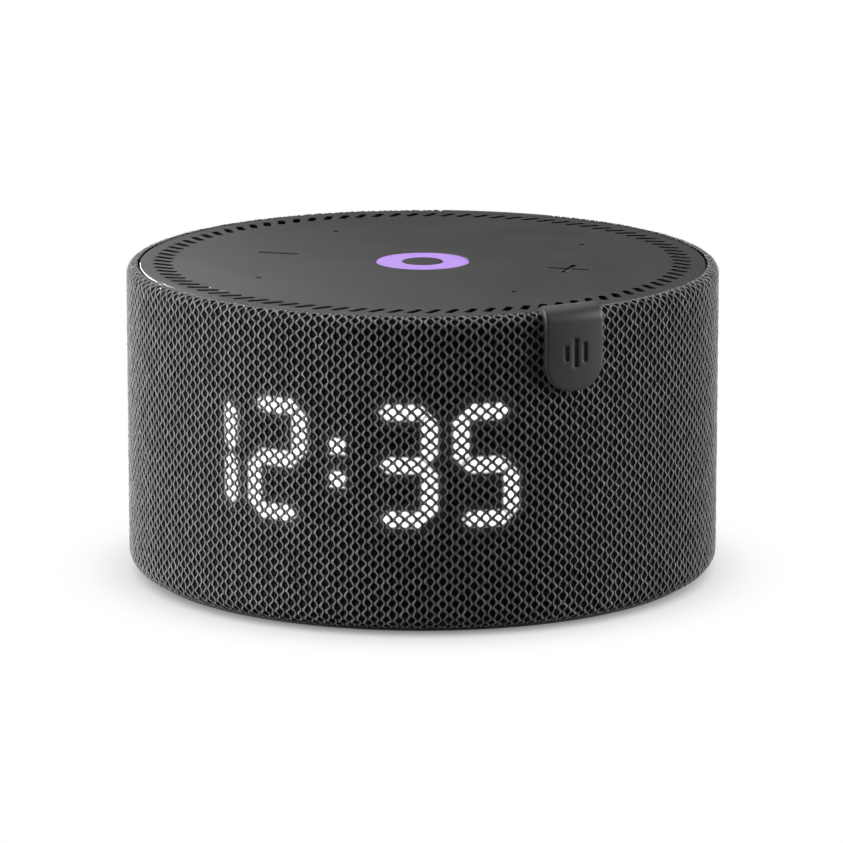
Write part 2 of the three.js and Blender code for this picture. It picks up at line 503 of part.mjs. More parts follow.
// ----------------------------------------------------------- USB-C inlet
{
  const oval = (w, h) => roundRect(w, h, h / 2 - 0.01, 3).map(([x, z]) => [x, z + PORT_Z]);
  let usb = pushedY(oval(8.94, 3.2), 40.3, 47.6).subtract(pushedY(oval(8.34, 2.6), 41.2, 49));
  usb = usb.add(block(-3.35, 3.35, 41.0, 46.6, PORT_Z - 0.35, PORT_Z + 0.35));
  add('usb_c_inlet', usb, M.steel);
}

// ------------------------------------------------------------- mute slider
{
  add('switch_board', block(-8, 8, 41.0, 42.0, KNOB_Z - 6, KNOB_Z + 6), M.board);
  add('mute_switch_body', cut(block(-4.4, 4.4, 42.1, 44.9, KNOB_Z - 1.8, KNOB_Z + 1.8), block(-2.6, 2.6, 43.2, 46, KNOB_Z - 0.9, KNOB_Z + 0.9)), M.steel);
  const slider = new THREE.Group();
  slider.position.x = -KNOB_TRAVEL / 2;
  speaker.add(slider);
  add('mute_switch_lever', block(-0.7, 0.7, 43.5, 45.9, KNOB_Z - 0.6, KNOB_Z + 0.6), M.black, slider);
  let knob = block(-6.0, 6.0, 45.25, 46.1, KNOB_Z - 2.4, KNOB_Z + 2.4);
  knob = knob.add(block(-2.5, 2.5, 45.9, 48.5, KNOB_Z - 1.25, KNOB_Z + 1.25));
  for (const x of [-1.6, -0.55, 0.5, 1.55]) knob = knob.subtract(block(x - 0.2, x + 0.2, 48.2, 49, KNOB_Z - 2, KNOB_Z + 2));
  knob = knob.subtract(block(-0.95, 0.95, 44, 46.05, KNOB_Z - 0.85, KNOB_Z + 0.85));
  add('mute_knob', knob, M.plate, slider);
}

// ------------------------------------------------- leads, ribbon and aerial
add('touch_flex', ribbon([[35.6, 47.05], [38.8, 46.9], [40.6, 46.0], [41.4, 44.2], [41.4, 11.2], [40.6, 9.0], [38.8, 8.0], [33.0, 7.6]], 0.3, 7, 180), M.polyimide);
for (const [name, side, mat] of [['speaker_lead_positive', 1.1, M.red], ['speaker_lead_negative', -1.1, M.black]]) {
  const at = (r, z) => {
    const [x, y] = polar(r, 112);
    const [tx, ty] = polar(side, 112 + 90);
    return [x + tx, y + ty, z];
  };
  add(name, lead([at(18.5, 31.0), at(24.5, 29.0), at(29.0, 21.0), at(33.0, 16.2), at(37.0, 15.6), at(39.2, 12.6), at(37.6, 9.0), at(33.0, 8.1)], 0.65, 16), mat);
}
{
  let aerial = turned([[45.35, 28.0], [45.85, 28.0], [45.85, 44.0], [45.35, 44.0]]);
  aerial = aerial.intersect(sector(240, 265, 0, 60));
  add('wifi_aerial', aerial, M.copper);
  const at = (r, deg, z) => [...polar(r, deg), z];
  add('aerial_lead', lead([at(44.3, 171, 33.0), at(44.2, 171, 28.0), at(43.6, 171, 16.0), at(42.2, 171, 10.6), at(38.6, 170, 8.4), at(33.0, 168, 8.0)], 0.5, 14), M.black);
}

export default speaker;
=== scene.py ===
"""Looks of the compact smart speaker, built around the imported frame."""

import math

import bmesh
import bpy
import numpy as np
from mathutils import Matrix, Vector
from mathutils.geometry import delaunay_2d_cdt


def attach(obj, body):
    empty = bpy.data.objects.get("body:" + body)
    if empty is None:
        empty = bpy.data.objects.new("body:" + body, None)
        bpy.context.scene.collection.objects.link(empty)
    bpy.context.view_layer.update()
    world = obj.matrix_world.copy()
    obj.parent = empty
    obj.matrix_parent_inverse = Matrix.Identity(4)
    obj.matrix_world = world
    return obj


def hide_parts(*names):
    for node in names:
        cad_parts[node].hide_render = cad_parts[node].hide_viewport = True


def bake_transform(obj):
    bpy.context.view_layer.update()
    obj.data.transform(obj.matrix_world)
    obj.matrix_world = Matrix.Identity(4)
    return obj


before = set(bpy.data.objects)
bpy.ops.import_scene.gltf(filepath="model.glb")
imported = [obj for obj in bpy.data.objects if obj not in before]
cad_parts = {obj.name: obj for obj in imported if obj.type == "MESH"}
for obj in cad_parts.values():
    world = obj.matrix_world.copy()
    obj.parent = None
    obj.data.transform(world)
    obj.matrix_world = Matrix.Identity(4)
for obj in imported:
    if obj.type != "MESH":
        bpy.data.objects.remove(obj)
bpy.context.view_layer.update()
MM = 0.001
scene = bpy.context.scene

# Dimensions in millimetres, as in the CAD source.
BODY_R = 49.0
PLATE_TOP = 51.8
PLATE_BOTTOM = 50.2
PLATE_R = 46.8
SLOT_COUNT, SLOT_MID_R, SLOT_LEN, SLOT_WIDE, SLOT_SLANT, SLOT_PHASE = 90, 42.9, 3.7, 1.3, 33.0, 0.4
MIC_AT, MIC_R = 21.6, 0.5
SIGN_AT, SIGN_LEN, SIGN_WIDE, SIGN_DEEP = 25.0, 7.1, 0.9, 0.4
TAB_WIDE, TAB_OUT, TAB_BOTTOM = 10.5, 50.15, 39.1
PANEL_HALF = 10.3
PORT_Z, KNOB_Z = 8.9, 30.0
KNIT_COLUMNS = 308  # columns of holes in a full turn
KNIT_HALF = 0.915  # half of the knit's upright repeat
DIGIT_ARC = [-23.6, -10.6, 10.75, 24.0]
DIGIT_W, DIGIT_TOP, DIGIT_BOTTOM, STROKE = 10.7, 37.85, 18.05, 2.5
DOT_Z, DOT = [30.8, 25.45], 2.5
DIGITS = ["bc", "abged", "abgcd", "afgcd"]


# ------------------------------------------------------------------ materials
class Nodes:
    """A material's node tree, with short ways to add to it."""

    def __init__(self, name):
        self.mat = bpy.data.materials.new(name)
        self.mat.use_nodes = True
        self.t = self.mat.node_tree
        self.t.nodes.clear()
        self.out = self.t.nodes.new("ShaderNodeOutputMaterial")
        self.bsdf = self.t.nodes.new("ShaderNodeBsdfPrincipled")
        self.t.links.new(self.bsdf.outputs["BSDF"], self.out.inputs["Surface"])
        self.place = self.t.nodes.new("ShaderNodeTexCoord").outputs["Object"]

    def add(self, kind, props=(), **inputs):
        n = self.t.nodes.new(kind)
        for k, v in dict(props).items():
            setattr(n, k, v)
        for k, v in inputs.items():
            self.plug(n, k.replace("_", " "), v)
        return n

    def plug(self, n, key, v):
        s = n.inputs[key]
        if isinstance(v, bpy.types.NodeSocket):
            self.t.links.new(v, s)
        else:
            s.default_value = v

    def maths(self, op, a, b=None, c=None, clamp=False):
        n = self.t.nodes.new("ShaderNodeMath")
        n.operation, n.use_clamp = op, clamp
        for i, v in enumerate((a, b, c)):
            if v is not None:
                self.plug(n, i, v)
        return n.outputs[0]

    def stretched(self, x=1.0, y=1.0, z=1.0, where=None):
        n = self.add("ShaderNodeMapping", Scale=(x, y, z))
        self.t.links.new(where or self.place, n.inputs["Vector"])
        return n.outputs[0]

    def noise(self, mm, detail=2.0, rough=0.5, where=None, distortion=0.0):
        """Noise with lumps about that many millimetres across."""
        return self.add(
            "ShaderNodeTexNoise", Vector=where or self.place, Scale=1000.0 / mm, Detail=detail, Roughness=rough, Distortion=distortion
        ).outputs["Fac"]

    def ramp(self, fac, *stops):
        n = self.t.nodes.new("ShaderNodeValToRGB")
        e = n.color_ramp.elements
        for i, (at, colour) in enumerate(stops):
            spot = e[i] if i < 2 else e.new(at)
            spot.position = at
            spot.color = (*(colour if hasattr(colour, "__len__") else (colour,) * 3), 1)
        self.t.links.new(fac, n.inputs["Fac"])
        return n.outputs["Color"]

    def span(self, v, a0, a1, b0, b1):
        return self.add("ShaderNodeMapRange", Value=v, From_Min=a0, From_Max=a1, To_Min=b0, To_Max=b1).outputs["Result"]

    def mixed(self, fac, a, b, how="MIX"):
        n = self.t.nodes.new("ShaderNodeMix")
        n.data_type, n.blend_type = "RGBA", how
        for key, v in ((0, fac), (6, a), (7, b)):
            if isinstance(v, bpy.types.NodeSocket):
                self.t.links.new(v, n.inputs[key])
            elif key:
                n.inputs[key].default_value = (*(v if hasattr(v, "__len__") else (v,) * 3), 1)
            else:
                n.inputs[key].default_value = v
        return n.outputs[2]

    def bump(self, *layers):
        """Bump from (height, depth in mm) pairs, one over the other."""
        last = None
        for height, depth in layers:
            n = self.add("ShaderNodeBump", Height=height, Distance=depth * MM, Strength=1.0)
            if last:
                self.t.links.new(last, n.inputs["Normal"])
            last = n.outputs["Normal"]
        self.t.links.new(last, self.bsdf.inputs["Normal"])

    def set(self, **values):
        for k, v in values.items():
            self.plug(self.bsdf, k.replace("_", " "), v)


def shade(colour, k):
    return tuple(min(1.0, c * k) for c in colour)


def moulded(name, colour, rough, grain=0.16, depth=0.008, vary=0.10, mottle=7.0, rough_vary=0.07, **extra):
    """A moulded or coated surface: slow mottling, a fine spark-eroded grain and uneven gloss."""
    m = Nodes(name)
    slow = m.noise(mottle, 3.0)
    fine = m.noise(grain, 2.0, 0.55)
    base = m.ramp(slow, (0.3, shade(colour, 1 - vary)), (0.7, shade(colour, 1 + vary)))
    pits = m.ramp(fine, (0.32, 0.78), (0.62, 1.0))
    m.plug(m.bsdf, "Base Color", m.mixed(1.0, base, pits, "MULTIPLY"))
    m.plug(m.bsdf, "Roughness", m.span(m.mixed(0.5, slow, fine), 0.3, 0.7, rough - rough_vary, rough + rough_vary))
    m.bump((fine, depth), (slow, depth * 1.5))
    m.set(**extra)
    return m.mat


def metal(name, colour, rough, along=(1, 1, 12), grain=0.5, depth=0.004, **extra):
    """A plated or rolled metal with faint drawn lines and dull spots."""
    m = Nodes(name)
    lines = m.noise(grain, 3.0, 0.6, m.stretched(*along))
    spots = m.noise(3.0, 4.0, 0.6)
    m.plug(m.bsdf, "Base Color", m.ramp(m.mixed(0.5, lines, spots), (0.3, shade(colour, 0.78)), (0.7, shade(colour, 1.08))))
    m.plug(m.bsdf, "Roughness", m.span(spots, 0.3, 0.7, rough - 0.07, rough + 0.12))
    m.set(Metallic=1.0, **extra)
    m.bump((lines, depth))
    return m.mat


def board(name, colour, track):
    """A printed circuit board: solder mask over copper tracks, with pads."""
    m = Nodes(name)
    flow = m.add("ShaderNodeTexWave", {"wave_type": "BANDS", "bands_direction": "DIAGONAL"}, Vector=m.place, Scale=620.0, Distortion=5.0, Detail=1.0, Detail_Scale=0.4).outputs["Fac"]
    tracks = m.ramp(flow, (0.55, 0.0), (0.62, 1.0))
    dots = m.add("ShaderNodeTexVoronoi", Vector=m.place, Scale=330.0, Randomness=0.55).outputs["Distance"]
    pads = m.ramp(dots, (0.16, 1.0), (0.19, 0.0))
    base = m.mixed(tracks, colour, track)
    m.plug(m.bsdf, "Base Color", m.mixed(pads, base, (0.62, 0.60, 0.55)))
    m.plug(m.bsdf, "Metallic", m.maths("MULTIPLY", pads, 0.9))
    m.plug(m.bsdf, "Roughness", m.span(m.noise(1.0, 3.0), 0.3, 0.7, 0.28, 0.45))
    m.bump((tracks, 0.02), (pads, 0.03))
    return m.mat


def woven(name, colour, pitch, rough=0.85):
    """A fine plain weave."""
    m = Nodes(name)
    k = math.pi * 2 * 1000.0 / pitch / 20.0
    one = m.add("ShaderNodeTexWave", {"bands_direction": "X", "wave_profile": "SIN"}, Vector=m.place, Scale=k, Distortion=0.4, Detail=1.0).outputs["Fac"]
    two = m.add("ShaderNodeTexWave", {"bands_direction": "Y", "wave_profile": "SIN"}, Vector=m.place, Scale=k, Distortion=0.4, Detail=1.0).outputs["Fac"]
    both = m.maths("MAXIMUM", one, two)
    m.plug(m.bsdf, "Base Color", m.mixed(0.6, m.ramp(both, (0.3, shade(colour, 0.45)), (0.9, shade(colour, 1.15))), m.ramp(m.noise(2.0, 3.0), (0.3, shade(colour, 0.8)), (0.7, colour))))
    m.plug(m.bsdf, "Roughness", m.span(both, 0.0, 1.0, rough + 0.08, rough - 0.05))
    m.bump((both, 0.05))
    return m.mat


def thread_material():
    """The knit's yarn: soft mid grey, uneven from stitch to stitch, with fine fibres, and painted shade that darkens
    its sides and foot.
    """
    m = Nodes("knit_thread")
    blot = m.noise(2.6, 3.0, 0.6)
    stitch = m.noise(0.9, 2.0, 0.6)
    fibre = m.noise(0.10, 3.0, 0.65, m.stretched(1.0, 1.0, 0.45))
    height = m.t.nodes.new("ShaderNodeAttribute")
    height.attribute_name = "height"
    # painted shade: through the height attribute the yarn darkens down its sides, and most of all at its foot deep in
    # the knit
    deep = m.ramp(height.outputs["Fac"], (0.0, 0.05), (0.45, 0.20), (0.62, 0.45), (0.95, 1.0))
    tone = m.mixed(0.7, m.ramp(blot, (0.3, 0.70), (0.7, 1.12)), m.ramp(stitch, (0.28, 0.50), (0.72, 1.30)), "MULTIPLY")
    colour = m.mixed(1.0, (0.31, 0.313, 0.318), tone, "MULTIPLY")
    colour = m.mixed(1.0, colour, deep, "MULTIPLY")
    colour = m.mixed(1.0, colour, m.ramp(fibre, (0.34, 0.62), (0.66, 1.28)), "MULTIPLY")
    m.plug(m.bsdf, "Base Color", colour)
    m.plug(m.bsdf, "Roughness", m.span(fibre, 0.3, 0.7, 0.72, 0.95))
    m.set(Specular_IOR_Level=0.25, Sheen_Weight=0.12, Sheen_Roughness=0.45)
    m.bsdf.inputs["Sheen Tint"].default_value = (0.8, 0.82, 0.86, 1)
    m.bump((fibre, 0.035))
    return m.mat


def under_material():
    """The layer under the knit: nearly black and fuzzy, with a few lighter fibres across it."""
    m = Nodes("knit_under")
    fuzz = m.noise(0.14, 4.0, 0.7)
    hair = m.noise(0.30, 2.0, 0.5, m.stretched(1.0, 1.0, 0.32), 0.9)
    line = m.ramp(hair, (0.46, 0.0), (0.50, 1.0), (0.54, 0.0))
    dark = m.ramp(fuzz, (0.3, (0.0035, 0.0035, 0.0036)), (0.75, (0.020, 0.020, 0.021)))
    m.plug(m.bsdf, "Base Color", m.mixed(m.maths("MULTIPLY", line, 0.5), dark, (0.055, 0.056, 0.058)))
    m.plug(m.bsdf, "Roughness", m.span(fuzz, 0.3, 0.7, 0.85, 1.0))
    m.set(Specular_IOR_Level=0.1)
    m.bump((fuzz, 0.07), (line, 0.03))
    return m.mat


def light_material():
    """The clock's light in the knit's holes: white, strongest in the middle of each, with fibres across it."""
    m = Nodes("clock_light")
    lit = m.t.nodes.new("ShaderNodeAttribute")
    lit.attribute_name = "lit"
    cloud = m.noise(0.42, 3.0, 0.6)
    hair = m.noise(0.26, 2.0, 0.5, m.stretched(1.0, 1.0, 0.4), 0.8)
    line = m.ramp(hair, (0.455, 1.0), (0.50, 0.45), (0.545, 1.0))
    level = m.maths("MULTIPLY", m.ramp(cloud, (0.30, 0.60), (0.62, 1.15)), line)
    m.set(Base_Color=(0.03, 0.03, 0.031, 1), Roughness=0.9, Specular_IOR_Level=0.1)
    m.bsdf.inputs["Emission Color"].default_value = (0.97, 0.99, 1.0, 1)
    m.plug(m.bsdf, "Emission Strength", m.maths("MULTIPLY", m.maths("MULTIPLY", lit.outputs["Fac"], level), 1.75))
    m.bump((cloud, 0.04))
    return m.mat


def glow_material():
    """The lit window: violet, its colour and strength a little uneven."""
    m = Nodes("glow_violet")
    cloud = m.noise(2.4, 3.0)
    fine = m.noise(0.2, 2.0)
    m.set(Base_Color=(0.04, 0.03, 0.05, 1), Roughness=0.45, Specular_IOR_Level=0.3)
    m.plug(m.bsdf, "Emission Color", m.ramp(cloud, (0.3, (0.50, 0.295, 0.87)), (0.7, (0.56, 0.345, 0.92))))
    m.plug(m.bsdf, "Emission Strength", m.span(fine, 0.3, 0.7, 0.90, 0.96))
    m.bump((fine, 0.004))
    return m.mat


PLATE = moulded("touch_plate_plastic", (0.055, 0.055, 0.0555), 0.50, grain=0.13, depth=0.006, vary=0.05, mottle=9.0, rough_vary=0.04)
CASE = moulded("case_plastic", (0.052, 0.052, 0.0525), 0.48, grain=0.17, depth=0.010)
RUBBER = moulded("foot_rubber", (0.013, 0.013, 0.0135), 0.82, grain=0.3, depth=0.02, vary=0.16)
SILICONE = moulded("silicone", (0.030, 0.030, 0.031), 0.46, grain=0.09, depth=0.0035, vary=0.05, mottle=4.0, rough_vary=0.05, Sheen_Weight=0.12, Sheen_Roughness=0.5)
BLACK = moulded("black_plastic", (0.008, 0.008, 0.0085), 0.6, depth=0.012)
# painted shade: a near-black copy of the plate plastic for the deep walls of the slots and holes, where shade falls
SLOT_PAINTED_SHADE = moulded("slot_painted_shade", (0.006, 0.006, 0.006), 0.92, grain=0.2, depth=0.01, vary=0.3, mottle=1.0, rough_vary=0.05, Specular_IOR_Level=0.05)
# painted reflection: the signs' floors are a light grey that stands for the bright surroundings they reflect
SIGN_PAINTED_REFLECTION = moulded("sign_floor_painted_reflection", (0.20, 0.20, 0.202), 0.35, grain=0.12, depth=0.003, vary=0.04)
THREAD, UNDER, LIGHT, GLOW = thread_material(), under_material(), light_material(), glow_material()
CAD_LOOKS = {
    "case_plastic": CASE,
    "foot_rubber": RUBBER,
    "black_plastic": BLACK,
    "touch_plate_plastic": PLATE,
    "silicone": SILICONE,
    "white_diffuser": moulded("white_diffuser", (0.72, 0.73, 0.74), 0.5, depth=0.006, vary=0.03),
    "black_circuit_board": board("black_circuit_board", (0.006, 0.008, 0.007), (0.013, 0.016, 0.014)),
    "circuit_board": board("circuit_board", (0.010, 0.070, 0.028), (0.020, 0.115, 0.045)),
    "foam": moulded("foam", (0.012, 0.012, 0.012), 0.95, grain=0.5, depth=0.09, vary=0.3, mottle=2.0),
    "dark_steel": metal("dark_steel", (0.060, 0.061, 0.064), 0.42),
    "steel": metal("steel", (0.50, 0.51, 0.53), 0.30),
    "aluminium": metal("aluminium", (0.66, 0.67, 0.69), 0.36, (14, 1, 1)),
    "copper": metal("copper", (0.62, 0.29, 0.14), 0.34),
    "ferrite": moulded("ferrite", (0.020, 0.020, 0.023), 0.62, grain=0.25, depth=0.015, vary=0.2),
    "paper_cone": moulded("paper_cone", (0.016, 0.016, 0.017), 0.86, grain=0.6, depth=0.05, vary=0.25, mottle=3.0),
    "spider_cloth": woven("spider_cloth", (0.45, 0.27, 0.09), 0.8),
    "polyimide": moulded("polyimide", (0.42, 0.16, 0.022), 0.36, grain=0.8, depth=0.01, vary=0.12),
    "red_insulation": moulded("red_insulation", (0.35, 0.018, 0.016), 0.52, grain=0.4, depth=0.01),
    "glow_diffuser": GLOW,
    "knit_fabric": THREAD,
}
NODE_SLOTS = {
    "foot_rubber": ["foot_ring", "driver_surround"],
    "case_plastic": ["base_cover", "side_shell", "rear_spine", "speaker_box_lid"],
    "knit_fabric": ["knit_sleeve"],
    "touch_plate_plastic": ["touch_plate", "glow_ring_cap", "mute_knob"],
    "glow_diffuser": ["glow_ring"],
    "white_diffuser": ["glow_light_guide", "display_light_guide"],
    "silicone": ["silicone_tab"],
    "black_circuit_board": ["touch_board"],
    "black_plastic": ["sound_deflector", "speaker_box_tub", "display_mask", "storage_capacitor", "mute_switch_lever", "speaker_lead_negative", "aerial_lead"],
    "foam": ["driver_gasket", "microphone_gasket_1", "microphone_gasket_2", "microphone_gasket_3", "microphone_gasket_4"],
    "dark_steel": ["driver_basket", "base_screw_1", "base_screw_2", "base_screw_3", "base_screw_4"],
    "paper_cone": ["driver_cone", "driver_dust_cap"],
    "copper": ["voice_coil", "wifi_aerial"],
    "spider_cloth": ["driver_spider"],
    "steel": [
        "magnet_top_plate", "magnet_yoke", "processor_shield", "wireless_module", "usb_c_inlet", "mute_switch_body",
        "driver_screw_1", "driver_screw_2", "driver_screw_3", "driver_screw_4",
        "microphone_1", "microphone_2", "microphone_3", "microphone_4",
    ],
    "ferrite": ["magnet_ring", "power_inductor"],
    "circuit_board": ["display_led_board", "main_board", "switch_board"],
    "polyimide": ["display_flex", "touch_flex"],
    "aluminium": ["heat_spreader"],
    "red_insulation": ["speaker_lead_positive"],
}
looks = {n: CAD_LOOKS[slot] for slot, members in NODE_SLOTS.items() for n in members}
for n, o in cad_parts.items():
    if not o.data.materials:
        o.data.materials.append(looks[n])
    for s in o.material_slots:
        s.material = looks[n]


# --------------------------------------------------------------- mesh helpers
def turned_in(a):
    """The unit vector at an angle from the front, which is -Y; the right is positive."""
    return np.sin(a), -np.cos(a)


def piece(name, verts, faces, mats, body="housing", slot=None, stands_for=(), sharp=32, recalc=True, kinds=None, flat=False):
    """A mesh object in metres from points in millimetres, riding on a body; kinds are its faces' material numbers."""
    me = bpy.data.meshes.new(name)
    me.from_pydata((np.asarray(verts, float) * MM).tolist(), [], [list(map(int, f)) for f in faces])
    for m in mats if isinstance(mats, (list, tuple)) else [mats]:
        me.materials.append(m)
    if kinds is not None:
        me.polygons.foreach_set("material_index", kinds)
    if recalc:
        bm = bmesh.new()
        bm.from_mesh(me)
        bmesh.ops.remove_doubles(bm, verts=bm.verts, dist=2e-7)
        bmesh.ops.dissolve_degenerate(bm, dist=1e-8, edges=bm.edges)
        bmesh.ops.recalc_face_normals(bm, faces=bm.faces)
        bm.to_mesh(me)
        bm.free()
    me.shade_smooth()
    me.set_sharp_from_angle(angle=math.radians(sharp))
    o = bpy.data.objects.new(name, me)
    scene.collection.objects.link(o)
    if flat:  # large flat faces keep their own normals and only the rounded edges turn
        w = o.modifiers.new("flat_faces", "WEIGHTED_NORMAL")
        w.keep_sharp, w.weight = True, 100
    if body:
        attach(o, body)
    if stands_for:
        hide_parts(*stands_for)
    return o


def lathe(profile, segments=256, a0=None, a1=None, at=(0, 0)):
    """Points and faces of a closed profile of (radius, height) turned round Z, with flat ends if it isn't a full turn."""
    p = np.asarray(profile, float)
    full = a0 is None
    angles = np.linspace(0, 2 * math.pi, segments, endpoint=False) if full else np.linspace(a0, a1, segments + 1)
    sx, sy = turned_in(angles)
    v = np.stack([sx[:, None] * p[:, 0] + at[0], sy[:, None] * p[:, 0] + at[1], np.broadcast_to(p[:, 1], (len(angles), len(p)))], -1).reshape(-1, 3)
    k, n, f = len(p), len(angles), []
    for i in range(n if full else n - 1):
        j = (i + 1) % n
        for q in range(k):
            w = (q + 1) % k
            f.append((i * k + q, j * k + q, j * k + w, i * k + w))
    if not full:
        f += [tuple(range(k))[::-1], tuple((n - 1) * k + q for q in range(k))]
    return v, f


def fillet(points, steps=4):
    """A closed profile of (x, y, radius) corners with each corner rounded."""
    n, made = len(points), []
    for i in range(n):
        p0, p1, p2 = (np.array(points[(i + d) % n][:2], float) for d in (-1, 0, 1))
        r = points[i][2] if len(points[i]) > 2 else 0
        u, w = (p0 - p1) / np.linalg.norm(p0 - p1), (p2 - p1) / np.linalg.norm(p2 - p1)
        turn = math.acos(max(-1, min(1, float(u @ w))))
        if r <= 0 or turn > math.pi - 0.02:
            made.append(tuple(p1))
            continue
        back = min(r / math.tan(turn / 2), 0.49 * min(np.linalg.norm(p0 - p1), np.linalg.norm(p2 - p1)))
        a, b = p1 + u * back, p1 + w * back
        for s in range(steps + 1):
            t = s / steps
            q = (1 - t) ** 2 * a + 2 * t * (1 - t) * p1 + t * t * b
            made.append(tuple(q))
    return made


def joined(parts):
    """Several (points, faces) as one."""
    v, f, at = [], [], 0
    for pv, pf in parts:
        v.append(np.asarray(pv, float))
        f += [tuple(x + at for x in q) for q in pf]
        at += len(pv)
    return np.concatenate(v), f


def soft_box(x0, x1, y0, y1, z0, z1, r=0.2, steps=3):
    """A box with rounded edges."""
    bm = bmesh.new()
    bmesh.ops.create_cube(bm, size=1.0)
    for q in bm.verts:
        q.co = Vector(((x0 + x1) / 2 + q.co.x * (x1 - x0), (y0 + y1) / 2 + q.co.y * (y1 - y0), (z0 + z1) / 2 + q.co.z * (z1 - z0)))
    bmesh.ops.bevel(bm, geom=list(bm.edges), offset=r, segments=steps, profile=0.5, affect="EDGES", clamp_overlap=True)
    bm.verts.index_update()
    v, f = [tuple(q.co) for q in bm.verts], [tuple(q.index for q in face.verts) for face in bm.faces]
    bm.free()
    return v, f


def inside(points, loop):
    """Which 2-D points are inside a loop."""
    x, y = points[:, 0][:, None], points[:, 1][:, None]
    a, b = loop, np.roll(loop, -1, 0)
    crosses = ((a[:, 1] > y) != (b[:, 1] > y)) & (x < (b[:, 0] - a[:, 0]) * (y - a[:, 1]) / np.where(b[:, 1] == a[:, 1], 1e-12, b[:, 1] - a[:, 1]) + a[:, 0])
    return crosses.sum(1) % 2 == 1


def edge_distance(points, loop):
    a, b = loop, np.roll(loop, -1, 0)
    d = b - a
    t = np.clip(((points[:, None] - a) * d).sum(-1) / np.maximum((d * d).sum(-1), 1e-12), 0, 1)
    return np.sqrt((((points[:, None] - (a + t[..., None] * d)) ** 2).sum(-1)).min(1))


class Relief:
    """A surface made over a flat map of (u, v), with loops at heights h, filled and joined in strips."""

    def __init__(self):
        self.p, self.f, self.kind = [], [], []

    def loop(self, uv, h):
        start = len(self.p)
        self.p += [(u, v, h) for u, v in uv]
        return list(range(start, start + len(uv)))

    def strip(self, a, b, kind=0):
        n = len(a)
        for i in range(n):
            j = (i + 1) % n
            self.f.append((a[i], a[j], b[j], b[i]))
            self.kind.append(kind)

    def fill(self, outer, holes=(), h=None, grid=None, kind=0, margin=0.25):
        """Fills the space inside outer and outside holes, all loops of this relief, with extra grid points if given."""
        loops = [outer, *holes]
        ids = [i for l in loops for i in l]
        uv = np.array([self.p[i][:2] for i in ids])
        edges, at = [], 0
        for l in loops:
            edges += [(at + i, at + (i + 1) % len(l)) for i in range(len(l))]
            at += len(l)
        rings = [np.array([self.p[i][:2] for i in l]) for l in loops]
        if grid is not None:
            g = np.array(grid, float)
            g = g[inside(g, rings[0])]
            keep = edge_distance(g, rings[0]) > margin
            for r in rings[1:]:
                keep &= ~inside(g, r) & (edge_distance(g, r) > margin)
            g = g[keep]
            level = self.p[outer[0]][2] if h is None else h
            ids += list(range(len(self.p), len(self.p) + len(g)))
            self.p += [(u, v, level) for u, v in g]
            uv = np.concatenate([uv, g])
        _, _, faces, orig, _, _ = delaunay_2d_cdt([Vector(q) for q in uv.tolist()], edges, [], 0, 1e-6, True)
        back = [o[0] if o else None for o in orig]
        tri = [tuple(back[i] for i in f) for f in faces]
        tri = [t for t in tri if None not in t and len(set(t)) == 3]
        mid = np.array([[uv[i] for i in t] for t in tri]).mean(1)
        keep = inside(mid, rings[0])
        for r in rings[1:]:
            keep &= ~inside(mid, r)
        for t, k in zip(tri, keep):
            if k:
                self.f.append(tuple(ids[i] for i in t))
                self.kind.append(kind)


def ring(r, n, at=(0, 0)):
    a = np.linspace(0, 2 * math.pi, n, endpoint=False)
    return [(at[0] + r * math.cos(q), at[1] + r * math.sin(q)) for q in a]


def round_rect(w, h, r, grow=0.0, steps=5, at=(0, 0), turn=0.0):
    """A rounded rectangle's outline, grown outwards; the point count doesn't change with grow."""
    w, h, r = w + 2 * grow, h + 2 * grow, max(0.001, r + grow)
    r = min(r, w / 2 - 1e-4, h / 2 - 1e-4)
    pts = []
    for cx, cy, a0 in ((w / 2 - r, h / 2 - r, 0), (-w / 2 + r, h / 2 - r, 90), (-w / 2 + r, -h / 2 + r, 180), (w / 2 - r, -h / 2 + r, 270)):
        for i in range(steps + 1):
            a = math.radians(a0 + 90 * i / steps)
            pts.append((cx + r * math.cos(a), cy + r * math.sin(a)))
    c, s = math.cos(turn), math.sin(turn)
    return [(at[0] + x * c - y * s, at[1] + x * s + y * c) for x, y in pts]


def cross(length, wide, r, grow=0.0, at=(0, 0), steps=4):
    """A plus sign's outline with rounded ends."""
    l, w = length / 2 + grow, wide / 2 + grow
    q = max(0.001, min(r + grow, w - 1e-4))
    pts = []
    for k in range(4):
        c, s = math.cos(k * math.pi / 2), math.sin(k * math.pi / 2)
        arm = []
        for cx, cy, a0 in ((l - q, -w + q, 270), (l - q, w - q, 0)):
            for i in range(steps + 1):
                a = math.radians(a0 + 90 * i / steps)
                arm.append((cx + q * math.cos(a), cy + q * math.sin(a)))
        arm.append((w, w))
        pts += [(at[0] + x * c - y * s, at[1] + x * s + y * c) for x, y in arm]
    return pts


# ------------------------------------------------------------------- the knit
def sleeve_line():
    """The knit's crest line from inside the rim, over it, down the wall and under the base: radius, height and the outward direction along its length."""
    pts = [(46.98, 50.9), (46.98, 51.55)]
    pts += [(47.28 - 0.30 * math.cos(a), 51.55 + 0.30 * math.sin(a)) for a in np.linspace(0, math.pi / 2, 6)[1:]]
    pts += [(47.40 + 1.6 * math.sin(a), 50.25 + 1.6 * math.cos(a)) for a in np.linspace(0, math.pi / 2, 24)]
    pts += [(49.0, z) for z in np.linspace(50.0, 4.1, 82)]
    pts += [(46.2 + 2.8 * math.cos(a), 3.9 - 2.9 * math.sin(a)) for a in np.linspace(0, math.radians(75), 30)]
    p = np.array(pts)
    t = np.gradient(p, axis=0)
    t /= np.linalg.norm(t, axis=1)[:, None]
    s = np.concatenate([[0], np.cumsum(np.linalg.norm(np.diff(p, axis=0), axis=1))])
    return s, p, np.stack([-t[:, 1], t[:, 0]], 1)


LINE_S, LINE_P, LINE_N = sleeve_line()
LINE_LEN = float(LINE_S[-1])


